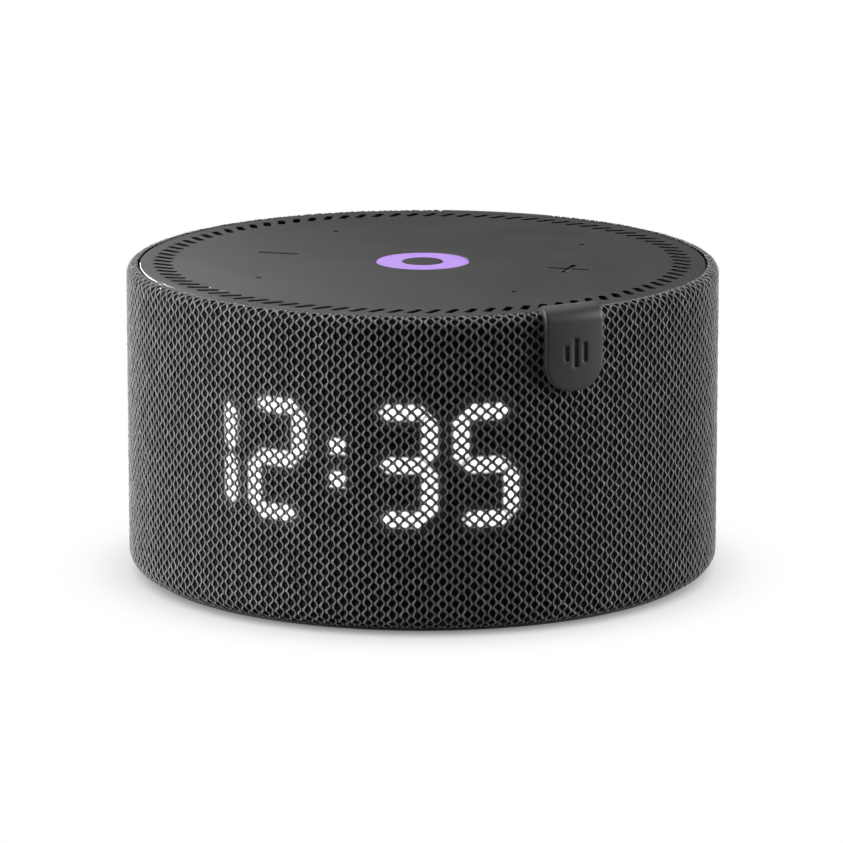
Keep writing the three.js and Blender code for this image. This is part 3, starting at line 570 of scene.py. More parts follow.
def on_knit(u, s, out):
    """A point of the sleeve: u along the wall from the front, s down from the rim, out beyond the crest, in millimetres."""
    s = np.clip(s, 0, LINE_LEN)
    r = np.interp(s, LINE_S, LINE_P[:, 0]) + np.interp(s, LINE_S, LINE_N[:, 0]) * out
    z = np.interp(s, LINE_S, LINE_P[:, 1]) + np.interp(s, LINE_S, LINE_N[:, 1]) * out
    x, y = turned_in(u / BODY_R)
    return np.stack([x * r, y * r, z], -1)


PITCH = 2 * math.pi * BODY_R / KNIT_COLUMNS
STRANDS = 286
HALVES = int(LINE_LEN / KNIT_HALF) + 3
LOOSE = np.random.default_rng(11)
KNOT = LOOSE.uniform(-1, 1, (STRANDS + 2, HALVES + 2, 3)) * np.array([0.085, 0.12, 0.035])
SWAY = 0.20


def opening(t):
    """From one knot to the next, a little quicker at first, so that the holes have round tops and pointed feet."""
    return -SWAY * np.cos(np.pi * np.clip(t, 0, 1) ** 0.82)


def strand(i, per=5):
    """The middle line of one strand: u, s and height at each of its points."""
    s = np.arange(0, LINE_LEN, KNIT_HALF / per)
    h = np.floor(s / KNIT_HALF + 1e-9).astype(int)
    t = s / KNIT_HALF - h
    sign = np.where((i + h) % 2 == 0, 1.0, -1.0)
    here = np.where(sign > 0, i, i + 1)
    after = np.where(sign > 0, i + 1, i)
    j = KNOT[here, h] * (1 - t)[:, None] + KNOT[after, h + 1] * t[:, None]
    u = PITCH * (i - (STRANDS - 1) / 2) + sign * opening(t) + j[:, 0]
    near = np.cos(2 * np.pi * t) * 0.5 + 0.5  # one at a knot
    lean = sign * opening(t) / SWAY  # one at a knot with the right neighbour, minus one with the left
    keep = s > 0.75
    return u[keep], (s + j[:, 1])[keep], (j[:, 2] - 0.045 * (1 - near))[keep], lean[keep]


def net(name, first, last, edges=()):
    """A part of the knit: strands of yarn that swing left and right and meet their neighbours in knots."""
    verts, faces, height = [], [], []
    at = 0
    for i in [*range(first, last), *edges]:
        if isinstance(i, float):  # a straight edge yarn beside the spine
            s = np.arange(0, LINE_LEN, KNIT_HALF / 3)
            u, lift, lean = np.full(len(s), i) + 0.03 * np.sin(s * 3.1), np.zeros(len(s)), np.zeros(len(s))
        else:
            u, s, lift, lean = strand(i)
        du, ds = np.gradient(u), np.gradient(s)
        size = np.hypot(du, ds)
        nu, ns = ds / size, -du / size
        # the yarn's top and its loose foot, which spreads towards the neighbour at a knot; the foot is painted dark as
        # shade, the top keeps the full tone
        crown = 0.12
        to_left, to_right = ((1 - lean) / 2) ** 1.3, ((1 + lean) / 2) ** 1.3
        left, right = 0.19 + 0.19 * to_left, 0.19 + 0.19 * to_right
        rows = [
            on_knit(u - left * nu, s - left * ns, lift - 0.40 + 0.30 * to_left**2),
            on_knit(u - crown * nu, s - crown * ns, lift - 0.08),
            on_knit(u + crown * nu, s + crown * ns, lift - 0.08),
            on_knit(u + right * nu, s + right * ns, lift - 0.40 + 0.30 * to_right**2),
        ]
        ridge = on_knit(u, s, lift)
        v = np.stack([rows[0], rows[1], ridge, rows[2], rows[3]], 1)
        k, n = 5, len(u)
        verts.append(v.reshape(-1, 3))
        flat = np.ones(n)
        # painted shade: these heights make the yarn's material darken its sides and foot
        height.append(np.stack([0.75 * to_left**2, 0.6 * flat, flat, 0.6 * flat, 0.75 * to_right**2], 1).ravel())
        a = (np.arange(n - 1) * k)[:, None] + np.arange(k)
        b = (np.arange(n - 1) * k)[:, None] + (np.arange(k) + 1) % k
        faces.append(np.stack([a, b, b + k, a + k], -1).reshape(-1, 4) + at)
        at += n * k
    v, f = np.concatenate(verts), np.concatenate(faces)
    me = bpy.data.meshes.new(name)
    me.from_pydata((v * MM).tolist(), [], f.tolist())
    a = me.attributes.new("height", "FLOAT", "POINT")
    a.data.foreach_set("value", np.concatenate(height).astype(np.float32))
    me.materials.append(THREAD)
    me.shade_smooth()
    bm = bmesh.new()
    bm.from_mesh(me)
    bmesh.ops.holes_fill(bm, edges=[e for e in bm.edges if e.is_boundary], sides=6)
    bmesh.ops.recalc_face_normals(bm, faces=bm.faces)
    bm.to_mesh(me)
    bm.free()
    o = bpy.data.objects.new(name, me)
    scene.collection.objects.link(o)
    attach(o, "housing")
    return o


EDGE = math.asin(10.86 / BODY_R)
edge_u = (math.pi - EDGE) * BODY_R
nets = [
    net("knit_net_left", 0, 96, (-edge_u,)),
    net("knit_net_front", 96, 190),
    net("knit_net_right", 190, STRANDS, (edge_u,)),
]


def under_layer():
    """The dark layer under the net: one closed thin shell from spine to spine."""
    s = np.concatenate([np.linspace(0.2, 6.0, 26), np.arange(6.6, LINE_LEN - 5.0, 1.2), np.linspace(LINE_LEN - 4.9, LINE_LEN - 0.1, 18)])
    span = (math.pi - math.asin(10.7 / BODY_R)) * BODY_R
    u = np.linspace(-span, span, 341)
    rng = np.random.default_rng(5)
    U, S = np.meshgrid(u, s, indexing="ij")
    soft = rng.uniform(-0.012, 0.012, U.shape)
    tuck = np.clip(1 - (span - np.abs(U)) / 0.7, 0, 1) ** 2 * 0.12
    outer = on_knit(U, S, -0.345 + soft - tuck)
    inner = on_knit(U, S, np.full(U.shape, -0.80))
    n, k = U.shape
    v = np.concatenate([outer.reshape(-1, 3), inner.reshape(-1, 3)])
    f, m = [], n * k
    for i in range(n - 1):
        for j in range(k - 1):
            a = i * k + j
            f.append((a, a + 1, a + k + 1, a + k))
            f.append((m + a, m + a + k, m + a + k + 1, m + a + 1))
    for i in range(n - 1):
        for j in (0, k - 1):
            a = i * k + j
            f.append((a, a + k, m + a + k, m + a))
    for j in range(k - 1):
        for i in (0, n - 1):
            a = i * k + j
            f.append((a, a + 1, m + a + 1, m + a))
    return piece("knit_under_layer", v, f, UNDER, slot="knit_fabric", stands_for=["knit_sleeve"], sharp=50)


under = under_layer()


# ------------------------------------------------------------ the clock's light
def stroke_shapes():
    w, s, g = DIGIT_W / 2, STROKE, 0.24
    top, bot = DIGIT_TOP, DIGIT_BOTTOM
    mid = (top + bot) / 2 + 0.1

    def bar(z, lo, hi):
        return [(-w + s * 0.5 + g, z), (-w + s + g, z + hi), (w - s - g, z + hi), (w - s * 0.5 - g, z), (w - s - g, z - lo), (-w + s + g, z - lo)]

    def post(x, z0, z1):
        return [(x - s / 2, z0 + s * 0.5 + g), (x, z0 + g), (x + s / 2, z0 + s * 0.5 + g), (x + s / 2, z1 - s * 0.5 - g), (x, z1 - g), (x - s / 2, z1 - s * 0.5 - g)]

    return {
        "a": bar(top - s / 2, s / 2, s / 2), "g": bar(mid, s / 2, s / 2), "d": bar(bot + s / 2, s / 2, s / 2),
        "f": post(-w + s / 2, mid, top - s / 2), "b": post(w - s / 2, mid, top - s / 2),
        "e": post(-w + s / 2, bot + s / 2, mid), "c": post(w - s / 2, bot + s / 2, mid),
    }


def lit_shapes():
    shapes, strokes = [], stroke_shapes()
    for arc, on in zip(DIGIT_ARC, DIGITS):
        shapes += [np.array([(x + arc, z) for x, z in strokes[k]]) for k in on]
    for z in DOT_Z:
        shapes.append(np.array([(-DOT / 2, z - DOT / 2), (DOT / 2, z - DOT / 2), (DOT / 2, z + DOT / 2), (-DOT / 2, z + DOT / 2)]))
    return shapes


def light_level(points):
    """How strongly the light behind the knit shows at (u, z) points, from 0 to 1, with a faint halo."""
    nearest = np.full(len(points), 1e9)
    for s in lit_shapes():
        d = edge_distance(points, s)
        nearest = np.minimum(nearest, np.where(inside(points, s), -d, d))
    t = np.clip(0.5 - nearest / 0.62, 0, 1)
    return t * t * (3 - 2 * t) + 0.010 * np.exp(-np.maximum(nearest, 0) / 1.2)


def clock_light():
    """A fine sheet behind the yarn that carries the clock's light, only where it reaches."""
    step = 0.19
    u = np.arange(-31.5, 31.5, step)
    s = np.interp(-np.arange(40.6, 14.4, -step), -LINE_P[30:110, 1], LINE_S[30:110])
    z = np.interp(s, LINE_S, LINE_P[:, 1])
    U, S = np.meshgrid(u, s, indexing="ij")
    Z = np.broadcast_to(z, U.shape)
    lit = light_level(np.stack([U.ravel(), Z.ravel()], 1))
    rng = np.random.default_rng(3)
    lit *= rng.uniform(0.85, 1.1, lit.shape)
    points = on_knit(U, S, np.full(U.shape, -0.30)).reshape(-1, 3)
    n, k = U.shape
    a = (np.arange(n - 1) * k)[:, None] + np.arange(k - 1)
    f = np.stack([a, a + k, a + k + 1, a + 1], -1).reshape(-1, 4)
    f = f[lit[f].max(1) > 0.0035]
    used, f = np.unique(f, return_inverse=True)
    f = f.reshape(-1, 4)
    o = piece("clock_light", points[used], f, LIGHT, slot="white_diffuser", recalc=False, sharp=60)
    a = o.data.attributes.new("lit", "FLOAT", "POINT")
    a.data.foreach_set("value", lit[used].astype(np.float32))
    normal = sum((p.normal.dot(Vector((p.center.x, p.center.y, 0))) for p in o.data.polygons), 0.0)
    if normal < 0:
        o.data.flip_normals()
    return o


clock = clock_light()


# ------------------------------------------------------------- the touch plate
def touch_plate():
    r = Relief()
    soft = 0.04  # rounded edge of the slots and holes
    steps = [(0.0, 1.0), (0.3, 0.62), (0.62, 0.3), (1.0, 0.0)]  # how far down and how far out, as shares of the soft edge

    def rim(outline, deep, round_by=soft, dark=True):
        """Loops from the top face down a rounded edge to a depth; outline(grow) gives the loop; with dark, the deepest
        strip is painted with shade.
        """
        loops = [r.loop(outline(round_by * out), PLATE_TOP - round_by * down) for down, out in steps]
        loops.append(r.loop(outline(0.0), deep))
        for a, b in zip(loops, loops[1:]):
            # with dark, the deepest strip gets the painted shade (material 1)
            r.strip(a, b, int(dark and b is loops[-1]))
        return loops[0], loops[-1]

    top_holes, low_holes = [], []
    for i in range(SLOT_COUNT):
        a = math.radians(360 * i / SLOT_COUNT + SLOT_PHASE)
        at = (SLOT_MID_R * math.cos(a), SLOT_MID_R * math.sin(a))
        turn = a - math.radians(SLOT_SLANT)
        t, b = rim(lambda g, at=at, turn=turn: round_rect(SLOT_LEN, SLOT_WIDE, 0.55, g, 4, at, turn), PLATE_BOTTOM)
        top_holes.append(t)
        low_holes.append(b)
    for sx, sy in ((1, 1), (1, -1), (-1, 1), (-1, -1)):
        t, b = rim(lambda g, at=(sx * MIC_AT, sy * MIC_AT): ring(MIC_R + g, 24, at), PLATE_BOTTOM, 0.025)
        top_holes.append(t)
        low_holes.append(b)
    t, b = rim(lambda g: ring(7.8 + g, 128), PLATE_BOTTOM, 0.12, False)
    top_holes.append(t)
    low_holes.append(b)
    for sign in (lambda g: round_rect(SIGN_LEN, SIGN_WIDE, 0.4, g, 5, (-SIGN_AT, 0)), lambda g: cross(SIGN_LEN, SIGN_WIDE, 0.4, g, (SIGN_AT, 0))):
        t, b = rim(sign, PLATE_TOP - SIGN_DEEP, 0.04)
        top_holes.append(t)
        # the sign's floor takes the painted reflection (material 2)
        r.fill(b, kind=2)
    n = 360
    edge = [
        r.loop(ring(PLATE_R - 0.30 + 0.30 * math.sin(q), n), PLATE_TOP - 0.30 + 0.30 * math.cos(q)) for q in np.linspace(0, math.pi / 2, 6)
    ] + [r.loop(ring(PLATE_R, n), 50.5), r.loop(ring(PLATE_R - 0.3, n), PLATE_BOTTOM)]
    for a, b in zip(edge, edge[1:]):
        r.strip(a, b)
    r.fill(edge[0], top_holes)
    # the guide rib and the four posts under the plate
    rib = [r.loop(ring(q, 180), z) for q, z in ((40.0, PLATE_BOTTOM), (40.0, 48.4), (39.9, 48.3), (39.1, 48.3), (39.0, 48.4), (39.0, PLATE_BOTTOM))]
    for a, b in zip(rib, rib[1:]):
        r.strip(a, b)
    posts, tops = [], []
    for k in range(4):
        at = (34 * math.cos(k * math.pi / 2), 34 * math.sin(k * math.pi / 2))
        one = [r.loop(ring(q, 20, at), z) for q, z in ((1.5, PLATE_BOTTOM), (1.5, 45.7), (1.2, 45.4))]
        for a, b in zip(one, one[1:]):
            r.strip(a, b)
        posts.append(one[0])
        r.fill(one[-1])
    inner = [h for h in low_holes if np.hypot(*r.p[h[0]][:2]) < 39]
    r.fill(rib[-1], inner + posts)
    r.fill(edge[-1], [h for h in low_holes if h not in inner] + [rib[0]])
    return piece("touch_plate_visual", np.array(r.p), r.f, [PLATE, SLOT_PAINTED_SHADE, SIGN_PAINTED_REFLECTION], slot="touch_plate_plastic", stands_for=["touch_plate"], sharp=40, kinds=r.kind, flat=True)


touch_plate()
v, f = lathe(fillet([(3.5, 50.15, 0), (7.65, 50.15, 0), (7.65, 51.72, 0.16), (3.5, 51.72, 0.12)], 4), 160)
piece("glow_ring_visual", v, f, GLOW, slot="glow_diffuser", stands_for=["glow_ring"])
v, f = lathe([(0.0001, 50.15), (3.3, 50.15), (3.42, 50.3), (3.42, 51.62), (3.39, 51.70), (3.30, 51.76), (3.18, 51.78), (2.0, 51.79), (0.0001, 51.79)], 96)
piece("glow_ring_cap_visual", v, f, PLATE, slot="touch_plate_plastic", stands_for=["glow_ring_cap"])


# ----------------------------------------------------------------- silicone tab
def tab_line():
    """The tab's outer line from its lower end up over the rim: points and outward directions by length."""
    pts = [(TAB_OUT, z) for z in np.linspace(TAB_BOTTOM, 50.2, 24)]
    for a in np.linspace(0, math.pi / 2, 18)[1:]:
        pts.append((47.70 + (TAB_OUT - 47.70) * math.cos(a), 50.2 + (52.75 - 50.2) * math.sin(a)))
    pts += [(47.45, 52.74), (47.25, 52.70), (47.05, 52.64)]
    p = np.array(pts)
    t = np.gradient(p, axis=0)
    t /= np.linalg.norm(t, axis=1)[:, None]
    s = np.concatenate([[0], np.cumsum(np.linalg.norm(np.diff(p, axis=0), axis=1))])
    return s, p, np.stack([t[:, 1], -t[:, 0]], 1)


def silicone_tab():
    s, p, n = tab_line()
    length = float(s[-1])
    r = Relief()
    thick, soft = 1.15, 0.34

    def outline(inset):
        w, q = TAB_WIDE / 2 - inset, 4.6 - inset
        low = inset
        pts = [(-w + q - q * math.cos(a), low + q - q * math.sin(a)) for a in np.linspace(0, math.pi / 2, 14)]
        pts += [(w - q + q * math.sin(a), low + q - q * math.cos(a)) for a in np.linspace(0, math.pi / 2, 14)]
        top = length - inset * 0.6
        side = np.linspace(low + q, top, 46)[1:]
        c = 0.35
        side = side[side < top - c]
        pts += [(w, v) for v in side]
        pts += [(w - c + c * math.cos(a), top - c + c * math.sin(a)) for a in np.linspace(0, math.pi / 2, 5)]
        pts += [(u, top) for u in np.linspace(w - c, -w + c, 14)[1:-1]]
        pts += [(-w + c - c * math.sin(a), top - c + c * math.cos(a)) for a in np.linspace(0, math.pi / 2, 5)]
        pts += [(-w, v) for v in side[::-1]]
        return pts

    # the count of side points must be the same at each inset
    def same(inset, like=[None]):
        pts = outline(inset)
        if like[0] is None:
            like[0] = len(pts)
        return pts

    edge = [(0.0, 0.0), (0.0, thick - soft)] + [(soft * (1 - math.cos(a)), thick - soft + soft * math.sin(a)) for a in np.linspace(0, math.pi / 2, 7)[1:]]
    base = outline(0.0)
    centre_u = 0.0

    def inset_loop(d):
        """The outline drawn inwards by d along its own normals, so that each point keeps its place."""
        q = np.array(base)
        t = np.roll(q, -1, 0) - np.roll(q, 1, 0)
        t /= np.linalg.norm(t, axis=1)[:, None]
        nrm = np.stack([-t[:, 1], t[:, 0]], 1)
        return (q + nrm * d).tolist()

    loops = [r.loop(inset_loop(d), h) for d, h in edge]
    for a, b in zip(loops, loops[1:]):
        r.strip(a, b)
    holes = []
    for x, tall in ((-1.7, 2.4), (0.0, 4.6), (1.7, 3.2)):
        c = 45.3 - TAB_BOTTOM
        rims = [(0.10, thick), (0.05, thick - 0.02), (0.01, thick - 0.07), (0.0, thick - 0.14), (-0.02, thick - 0.26), (-0.07, thick - 0.31)]
        ls = [r.loop(round_rect(0.8, tall, 0.22, g, 4, (x + centre_u, c)), h) for g, h in rims]
        for a, b in zip(ls, ls[1:]):
            r.strip(a, b)
        holes.append(ls[0])
        r.fill(ls[-1])
    gu, gv = np.meshgrid(np.linspace(-4.9, 4.9, 21), np.concatenate([np.arange(0.5, 10.8, 0.55), np.arange(10.9, length, 0.22)]))
    grid = np.stack([gu.ravel(), gv.ravel()], 1)
    r.fill(loops[-1], holes, thick, grid, margin=0.16)
    r.fill(loops[0], (), 0.0, grid, margin=0.16)
    q = np.array(r.p)
    a = math.radians(45) + q[:, 0] / TAB_OUT
    out = q[:, 2] - thick
    rr = np.interp(q[:, 1], s, p[:, 0]) + np.interp(q[:, 1], s, n[:, 0]) * out
    zz = np.interp(q[:, 1], s, p[:, 1]) + np.interp(q[:, 1], s, n[:, 1]) * out
    x, y = turned_in(a)
    return piece("silicone_tab_visual", np.stack([x * rr, y * rr, zz], 1), r.f, SILICONE, slot="silicone", stands_for=["silicone_tab"], sharp=45)


silicone_tab()


# ------------------------------------------------------------------ rear spine
def spine_line():
    pts = [(47.06, 51.1), (47.06, 51.52)]
    pts += [(47.34 - 0.28 * math.cos(a), 51.52 + 0.28 * math.sin(a)) for a in np.linspace(0, math.pi / 2, 6)[1:]]
    pts += [(47.45 + 1.5 * math.sin(a), 50.30 + 1.5 * math.cos(a)) for a in np.linspace(0, math.pi / 2, 20)]
    pts += [(48.95, z) for z in np.linspace(50.0, 4.2, 45)]
    pts += [(46.15 + 2.8 * math.cos(a), 3.9 - 2.9 * math.sin(a)) for a in np.linspace(0, math.radians(75), 24)]
    p = np.array(pts)
    t = np.gradient(p, axis=0)
    t /= np.linalg.norm(t, axis=1)[:, None]
    s = np.concatenate([[0], np.cumsum(np.linalg.norm(np.diff(p, axis=0), axis=1))])
    return s, p, np.stack([-t[:, 1], t[:, 0]], 1)


def rear_spine():
    s, p, n = spine_line()
    length = float(s[-1])
    r = Relief()
    half = math.asin(PANEL_HALF / 48.95) * 48.95
    soft = 0.28
    knob_s = float(np.interp(-KNOB_Z, -p[26:70, 1], s[26:70]))
    port_s = float(np.interp(-PORT_Z, -p[26:70, 1], s[26:70]))

    def outline(d):
        w, a, b = half - d, d, length - d * 0.3
        m = 70
        ends = 18
        pts = [(w, v) for v in np.linspace(a, b, m)]
        pts += [(u, b) for u in np.linspace(w, -w, ends)[1:-1]]
        pts += [(-w, v) for v in np.linspace(b, a, m)]
        pts += [(u, a) for u in np.linspace(-w, w, ends)[1:-1]]
        return pts

    edge = [(0.0, -0.8), (0.0, -soft)] + [(soft * (1 - math.cos(a)), -soft + soft * math.sin(a)) for a in np.linspace(0, math.pi / 2, 6)[1:]]
    loops = [r.loop(outline(d), h) for d, h in edge]
    for a, b in zip(loops, loops[1:]):
        r.strip(a, b)

    def dip(w, h, q, at, levels):
        ls = [r.loop(round_rect(w, h, q, g, 7, at), lv) for g, lv in levels]
        for a, b in zip(ls, ls[1:]):
            r.strip(a, b)
        return ls

    # thumb recess with the slider's slot in its floor
    floor = dip(13.0, 6.4, 3.0, (0, knob_s), [(0.30, 0.0), (0.16, -0.03), (0.05, -0.12), (0.0, -0.28), (-0.02, -0.80), (-0.10, -1.02), (-0.30, -1.10)])
    slot = dip(8.8, 3.2, 0.6, (0, knob_s), [(0.10, -1.10), (0.03, -1.13), (0.0, -1.22), (0.0, -2.2)])
    port = dip(9.7, 3.9, 1.94, (0, port_s), [(0.26, 0.0), (0.12, -0.03), (0.03, -0.11), (0.0, -0.26), (0.0, -0.8)])
    gu, gv = np.meshgrid(np.linspace(-half + 0.5, half - 0.5, 27), np.concatenate([np.arange(0.3, 4.5, 0.22), np.arange(4.6, length - 5, 1.1), np.arange(length - 5, length, 0.3)]))
    grid = np.stack([gu.ravel(), gv.ravel()], 1)
    r.fill(loops[-1], [floor[0], port[0]], 0.0, grid, margin=0.2)
    r.fill(floor[-1], [slot[0]], -1.10, grid, margin=0.3)
    # the inner side, with a boss round the slider
    back = [r.loop(round_rect(16.0, 12.0, 1.0, 0, 7, (0, knob_s)), -0.8), r.loop(round_rect(16.0, 12.0, 1.0, 0, 7, (0, knob_s)), -2.2)]
    r.strip(back[0], back[1])
    r.fill(back[1], [slot[-1]], -2.2, grid, margin=0.3)
    r.fill(loops[0], [back[0], port[-1]], -0.8, grid, margin=0.2)
    q = np.array(r.p)
    a = math.pi - q[:, 0] / 48.95
    rr = np.interp(q[:, 1], s, p[:, 0]) + np.interp(q[:, 1], s, n[:, 0]) * q[:, 2]
    zz = np.interp(q[:, 1], s, p[:, 1]) + np.interp(q[:, 1], s, n[:, 1]) * q[:, 2]
    x, y = turned_in(a)
    return piece("rear_spine_visual", np.stack([x * rr, y * rr, zz], 1), r.f, CASE, slot="case_plastic", stands_for=["rear_spine"], sharp=40)


rear_spine()


def mute_knob():
    x = -1.5
    z = KNOB_Z
    parts = [soft_box(x - 6.0, x + 6.0, 45.25, 46.1, z - 2.4, z + 2.4, 0.2, 2), soft_box(x - 2.5, x + 2.5, 45.9, 48.28, z - 1.25, z + 1.25, 0.28, 4)]
    for d in (-1.8, -1.08, -0.36, 0.36, 1.08, 1.8):
        parts.append(soft_box(x + d - 0.17, x + d + 0.17, 48.0, 48.5, z - 1.05, z + 1.05, 0.15, 3))
    v, f = joined(parts)
    return piece("mute_knob_visual", v, f, PLATE, body="mute_knob", slot="touch_plate_plastic", stands_for=["mute_knob"])


mute_knob()


def usb_socket():
    """The drawn steel shell with its tongue and contacts."""
    parts, gold = [], []
    r = Relief()

    def oval(w, h):
        return round_rect(w, h, h / 2 - 0.01, 0, 10, (0, PORT_Z))

    levels = [((8.94, 3.2), 40.3), ((8.94, 3.2), 47.48), ((8.88, 3.14), 47.56), ((8.76, 3.02), 47.6), ((8.52, 2.78), 47.6), ((8.40, 2.66), 47.54), ((8.34, 2.6), 47.42), ((8.34, 2.6), 41.2)]
    ls = [r.loop(oval(*size), y) for size, y in levels]
    for a, b in zip(ls, ls[1:]):
        r.strip(a, b)
    r.fill(ls[0])
    r.fill(ls[-1])
    q = np.array(r.p)[:, [0, 2, 1]]
    shell = piece("usb_shell", q, r.f, CAD_LOOKS["steel"], slot="steel", stands_for=["usb_c_inlet"])
    tongue = joined([soft_box(-3.35, 3.35, 41.0, 46.6, PORT_Z - 0.35, PORT_Z + 0.35, 0.12, 2), soft_box(-3.9, 3.9, 41.2, 42.6, PORT_Z - 1.1, PORT_Z + 1.1, 0.1, 2)])
    piece("usb_tongue", *tongue, BLACK, slot="black_plastic")
    for k in range(12):
        x = -2.75 + 0.5 * k
        for s in (1, -1):
            gold.append(soft_box(x - 0.12, x + 0.12, 43.0, 46.2, PORT_Z + s * 0.35 - 0.03, PORT_Z + s * 0.35 + 0.03, 0.02, 1))
    piece("usb_contacts", *joined(gold), metal("contact_gold", (0.83, 0.58, 0.22), 0.28), slot="copper")
    return shell


usb_socket()


# ----------------------------------------------------------------- base and foot
def base():
    rim = [
        (0.0001, 0.95, 0), (9.0, 0.95, 0), (9.3, 1.15, 0.1), (29.7, 1.15, 0.1), (30.0, 0.9, 0.12), (36.5, 0.9, 0.18), (36.5, 1.65, 0.1), (44.1, 1.65, 0.1), (44.1, 0.5, 0.15), (46.1, 0.5, 0.15),
        (46.5, 0.8, 0.15), (46.5, 1.45, 0.1), (45.2, 1.65, 0.1), (44.6, 2.15, 0.1), (44.2, 2.5, 0.1), (44.2, 5.0, 0.2), (43.0, 5.0, 0.2), (43.0, 2.9, 0), (0.0001, 2.9, 0),
    ]
    parts = [lathe(fillet(rim, 4), 288)]
    for k in range(4):
        a = math.radians(45 + 90 * k)
        at = (40.6 * math.cos(a), 40.6 * math.sin(a))
        parts.append(lathe([(1.5, 2.95), (3.4, 2.95), (3.5, 3.1), (3.5, 4.9), (3.4, 5.0), (1.5, 5.0)], 40, at=at))
    v, f = joined(parts)
    piece("base_cover_visual", v, f, CASE, slot="case_plastic", stands_for=["base_cover"], flat=True)
    foot = [(36.8, 0.15), (36.95, 0.0)]
    for k in range(5):  # fine grooves round the tread
        c = 38.0 + 1.15 * k
        foot += [(c - 0.22, 0.0), (c - 0.12, 0.13), (c, 0.17), (c + 0.12, 0.13), (c + 0.22, 0.0)]
    foot += [(43.45, 0.0), (43.62, 0.05), (43.75, 0.18), (43.8, 0.35), (43.8, 1.4), (43.7, 1.5), (36.9, 1.5), (36.8, 1.4)]
    v, f = lathe(foot, 288)
    piece("foot_ring_visual", v, f, RUBBER, slot="foot_rubber", stands_for=["foot_ring"])


base()


# --------------------------------------------- the driver's soft suspension
def suspension(name, node, profile, look, slot):
    """A finely turned roll that bends between the basket and the cone."""
    v, f = lathe(profile, 96)
    o = piece(name, v, f, look, body=None, slot=slot, stands_for=[node])
    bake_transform(o)
    return o


Z = 38.3
half_roll = [(20.0 - 1.35 * math.cos(a), Z + 1.75 + 1.1 * math.sin(a)) for a in np.linspace(0.25, math.pi - 0.25, 13)]
low_roll = [(20.0 - 1.0 * math.cos(a), Z + 1.62 + 0.88 * math.sin(a)) for a in np.linspace(0.3, math.pi - 0.3, 13)][::-1]
surround = [(17.1, Z + 1.15), (17.1, Z + 1.55), (18.1, Z + 1.62)] + half_roll + [(21.6, Z + 2.2), (22.2, Z + 2.2), (22.2, Z + 1.8), (21.4, Z + 1.8)] + low_roll + [(18.5, Z + 1.2), (18.3, Z + 1.15)]
suspension("driver_surround_visual", "driver_surround", surround, RUBBER, "foot_rubber")
wave = [(7.1 + 6.8 * t, Z - 7.4 + 0.32 * math.sin(t * 6 * math.pi)) for t in np.linspace(0, 1, 49)]
spider = [(x, z + 0.1) for x, z in wave] + [(x, z - 0.1) for x, z in wave[::-1]]
suspension("driver_spider_visual", "driver_spider", spider, CAD_LOOKS["spider_cloth"], "spider_cloth")


# --------------------------------------------------------------- floor and light
def floor():
    me = bpy.data.meshes.new("floor")
    s = 6.0
    me.from_pydata([(-s, -s, 0), (s, -s, 0), (s, s, 0), (-s, s, 0)], [], [(0, 1, 2, 3)])
    o = bpy.data.objects.new("floor", me)
    scene.collection.objects.link(o)
    m = bpy.data.materials.new("floor")
    m.use_nodes = True
    t = m.node_tree
    t.nodes.clear()
    out = t.nodes.new("ShaderNodeOutputMaterial")
    flat = t.nodes.new("ShaderNodeBsdfDiffuse")
    flat.inputs["Color"].default_value = (0.22, 0.22, 0.223, 1)
    # seen by the camera, the floor is white with a painted soft contact shadow, its glow dimmed by ambient occlusion
    # near the object
    near = t.nodes.new("ShaderNodeAmbientOcclusion")
    near.inputs["Distance"].default_value = 0.014
    near.samples = 8
    glow = t.nodes.new("ShaderNodeEmission")
    glow.inputs["Color"].default_value = (1, 1, 1, 1)
    shut = t.nodes.new("ShaderNodeMath")
    shut.operation = "SUBTRACT"
    shut.inputs[0].default_value = 1.0
    t.links.new(near.outputs["AO"], shut.inputs[1])
    bent = t.nodes.new("ShaderNodeMath")
    bent.operation, bent.use_clamp = "POWER", True
    t.links.new(shut.outputs[0], bent.inputs[0])
    bent.inputs[1].default_value = 1.65
    left = t.nodes.new("ShaderNodeMath")
    left.operation = "MULTIPLY_ADD"
    t.links.new(bent.outputs[0], left.inputs[0])
    left.inputs[1].default_value, left.inputs[2].default_value = -0.80, 1.0
    t.links.new(left.outputs[0], glow.inputs["Strength"])
    path = t.nodes.new("ShaderNodeLightPath")
    seen = t.nodes.new("ShaderNodeMixShader")
    t.links.new(path.outputs["Is Camera Ray"], seen.inputs[0])
    t.links.new(flat.outputs[0], seen.inputs[1])
    t.links.new(glow.outputs[0], seen.inputs[2])
    # open from below, so that the underside can be seen and lit
    clear = t.nodes.new("ShaderNodeBsdfTransparent")
    side = t.nodes.new("ShaderNodeNewGeometry")
    either = t.nodes.new("ShaderNodeMath")
    either.operation = "MAXIMUM"
    t.links.new(side.outputs["Backfacing"], either.inputs[0])
    t.links.new(path.outputs["Is Shadow Ray"], either.inputs[1])
    last = t.nodes.new("ShaderNodeMixShader")
    t.links.new(either.outputs[0], last.inputs[0])
    t.links.new(seen.outputs[0], last.inputs[1])
    t.links.new(clear.outputs[0], last.inputs[2])
    t.links.new(last.outputs[0], out.inputs["Surface"])
    me.materials.append(m)


floor()


def area(name, angle, height, distance, wide, tall, watts, at=(0, 0, 0.03), spread=180.0):
    """A soft panel, at an angle from the front, turned to a point of the object."""
    d = bpy.data.lights.new(name, "AREA")
    d.shape, d.size, d.size_y, d.energy = "RECTANGLE", wide, tall, watts
    d.spread = math.radians(spread)
    o = bpy.data.objects.new(name, d)
    scene.collection.objects.link(o)
    a = math.radians(angle)
    o.location = (distance * math.sin(a), -distance * math.cos(a), height)
    way = Vector(at) - o.location
    o.rotation_euler = way.to_track_quat("-Z", "Y").to_euler()
    o.visible_camera = False
    return o


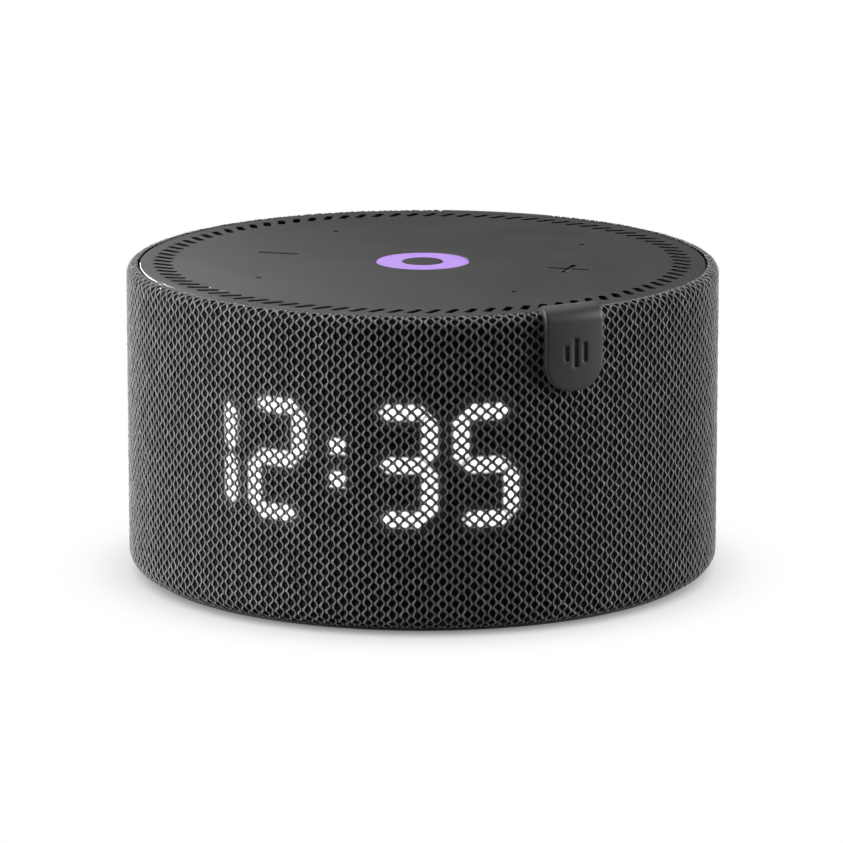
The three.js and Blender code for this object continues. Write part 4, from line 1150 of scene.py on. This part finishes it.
VIEW = 16.0
left_x, left_y = turned_in(math.radians(VIEW - 90))
area("key_left", VIEW - 81, 0.22, 0.55, 0.40, 0.32, 6.2)
area("rim_right", VIEW + 93, 0.20, 0.70, 0.35, 0.35, 6.0)
area("top_soft", VIEW + 180, 1.5, 0.30, 1.4, 1.4, 14.2)
area("plate_left", VIEW - 150, 0.30, 0.70, 0.06, 0.06, 0.0165, (0.060 * left_x, 0.060 * left_y, 0.0518), 8.0)
area("below", 0, -0.06, 0.0001, 0.086, 0.086, 0.010, (0, 0, 0.03), 40.0)

world = bpy.data.worlds.new("studio")
scene.world = world
world.use_nodes = True
t = world.node_tree
t.nodes.clear()
out = t.nodes.new("ShaderNodeOutputWorld")
white = t.nodes.new("ShaderNodeBackground")
white.inputs["Color"].default_value = (1, 1, 1, 1)
white.inputs["Strength"].default_value = 1.0
dim = t.nodes.new("ShaderNodeBackground")
where = t.nodes.new("ShaderNodeTexCoord")
split = t.nodes.new("ShaderNodeSeparateXYZ")
t.links.new(where.outputs["Generated"], split.inputs[0])
up = t.nodes.new("ShaderNodeMapRange")
up.inputs["From Min"].default_value = -0.02
up.inputs["From Max"].default_value = 0.06
up.inputs["To Min"].default_value = 0.0
up.inputs["To Max"].default_value = 0.012
t.links.new(split.outputs["Z"], up.inputs["Value"])
t.links.new(up.outputs[0], dim.inputs["Strength"])
dim.inputs["Color"].default_value = (1, 1, 1, 1)
path = t.nodes.new("ShaderNodeLightPath")
pick = t.nodes.new("ShaderNodeMixShader")
t.links.new(path.outputs["Is Camera Ray"], pick.inputs[0])
t.links.new(dim.outputs[0], pick.inputs[1])
t.links.new(white.outputs[0], pick.inputs[2])
t.links.new(pick.outputs[0], out.inputs["Surface"])
scene.view_settings.view_transform = "Standard"
scene.view_settings.look = "None"
scene.view_settings.exposure = 0.0
scene.view_settings.gamma = 1.0

# --------------------------------------------------------------------- camera
cam = bpy.data.cameras.new("camera")
cam.sensor_width = 36.0
cam.lens = 236.27
cam.clip_start, cam.clip_end = 0.05, 50.0
eye = bpy.data.objects.new("camera", cam)
scene.collection.objects.link(eye)
a = math.radians(16.08)
eye.location = (0.900 * math.sin(a), -0.900 * math.cos(a), 0.222108)
eye.rotation_euler = (math.pi / 2 - 0.21608, 0, a + 1.1 / 5532.7)
scene.camera = eye
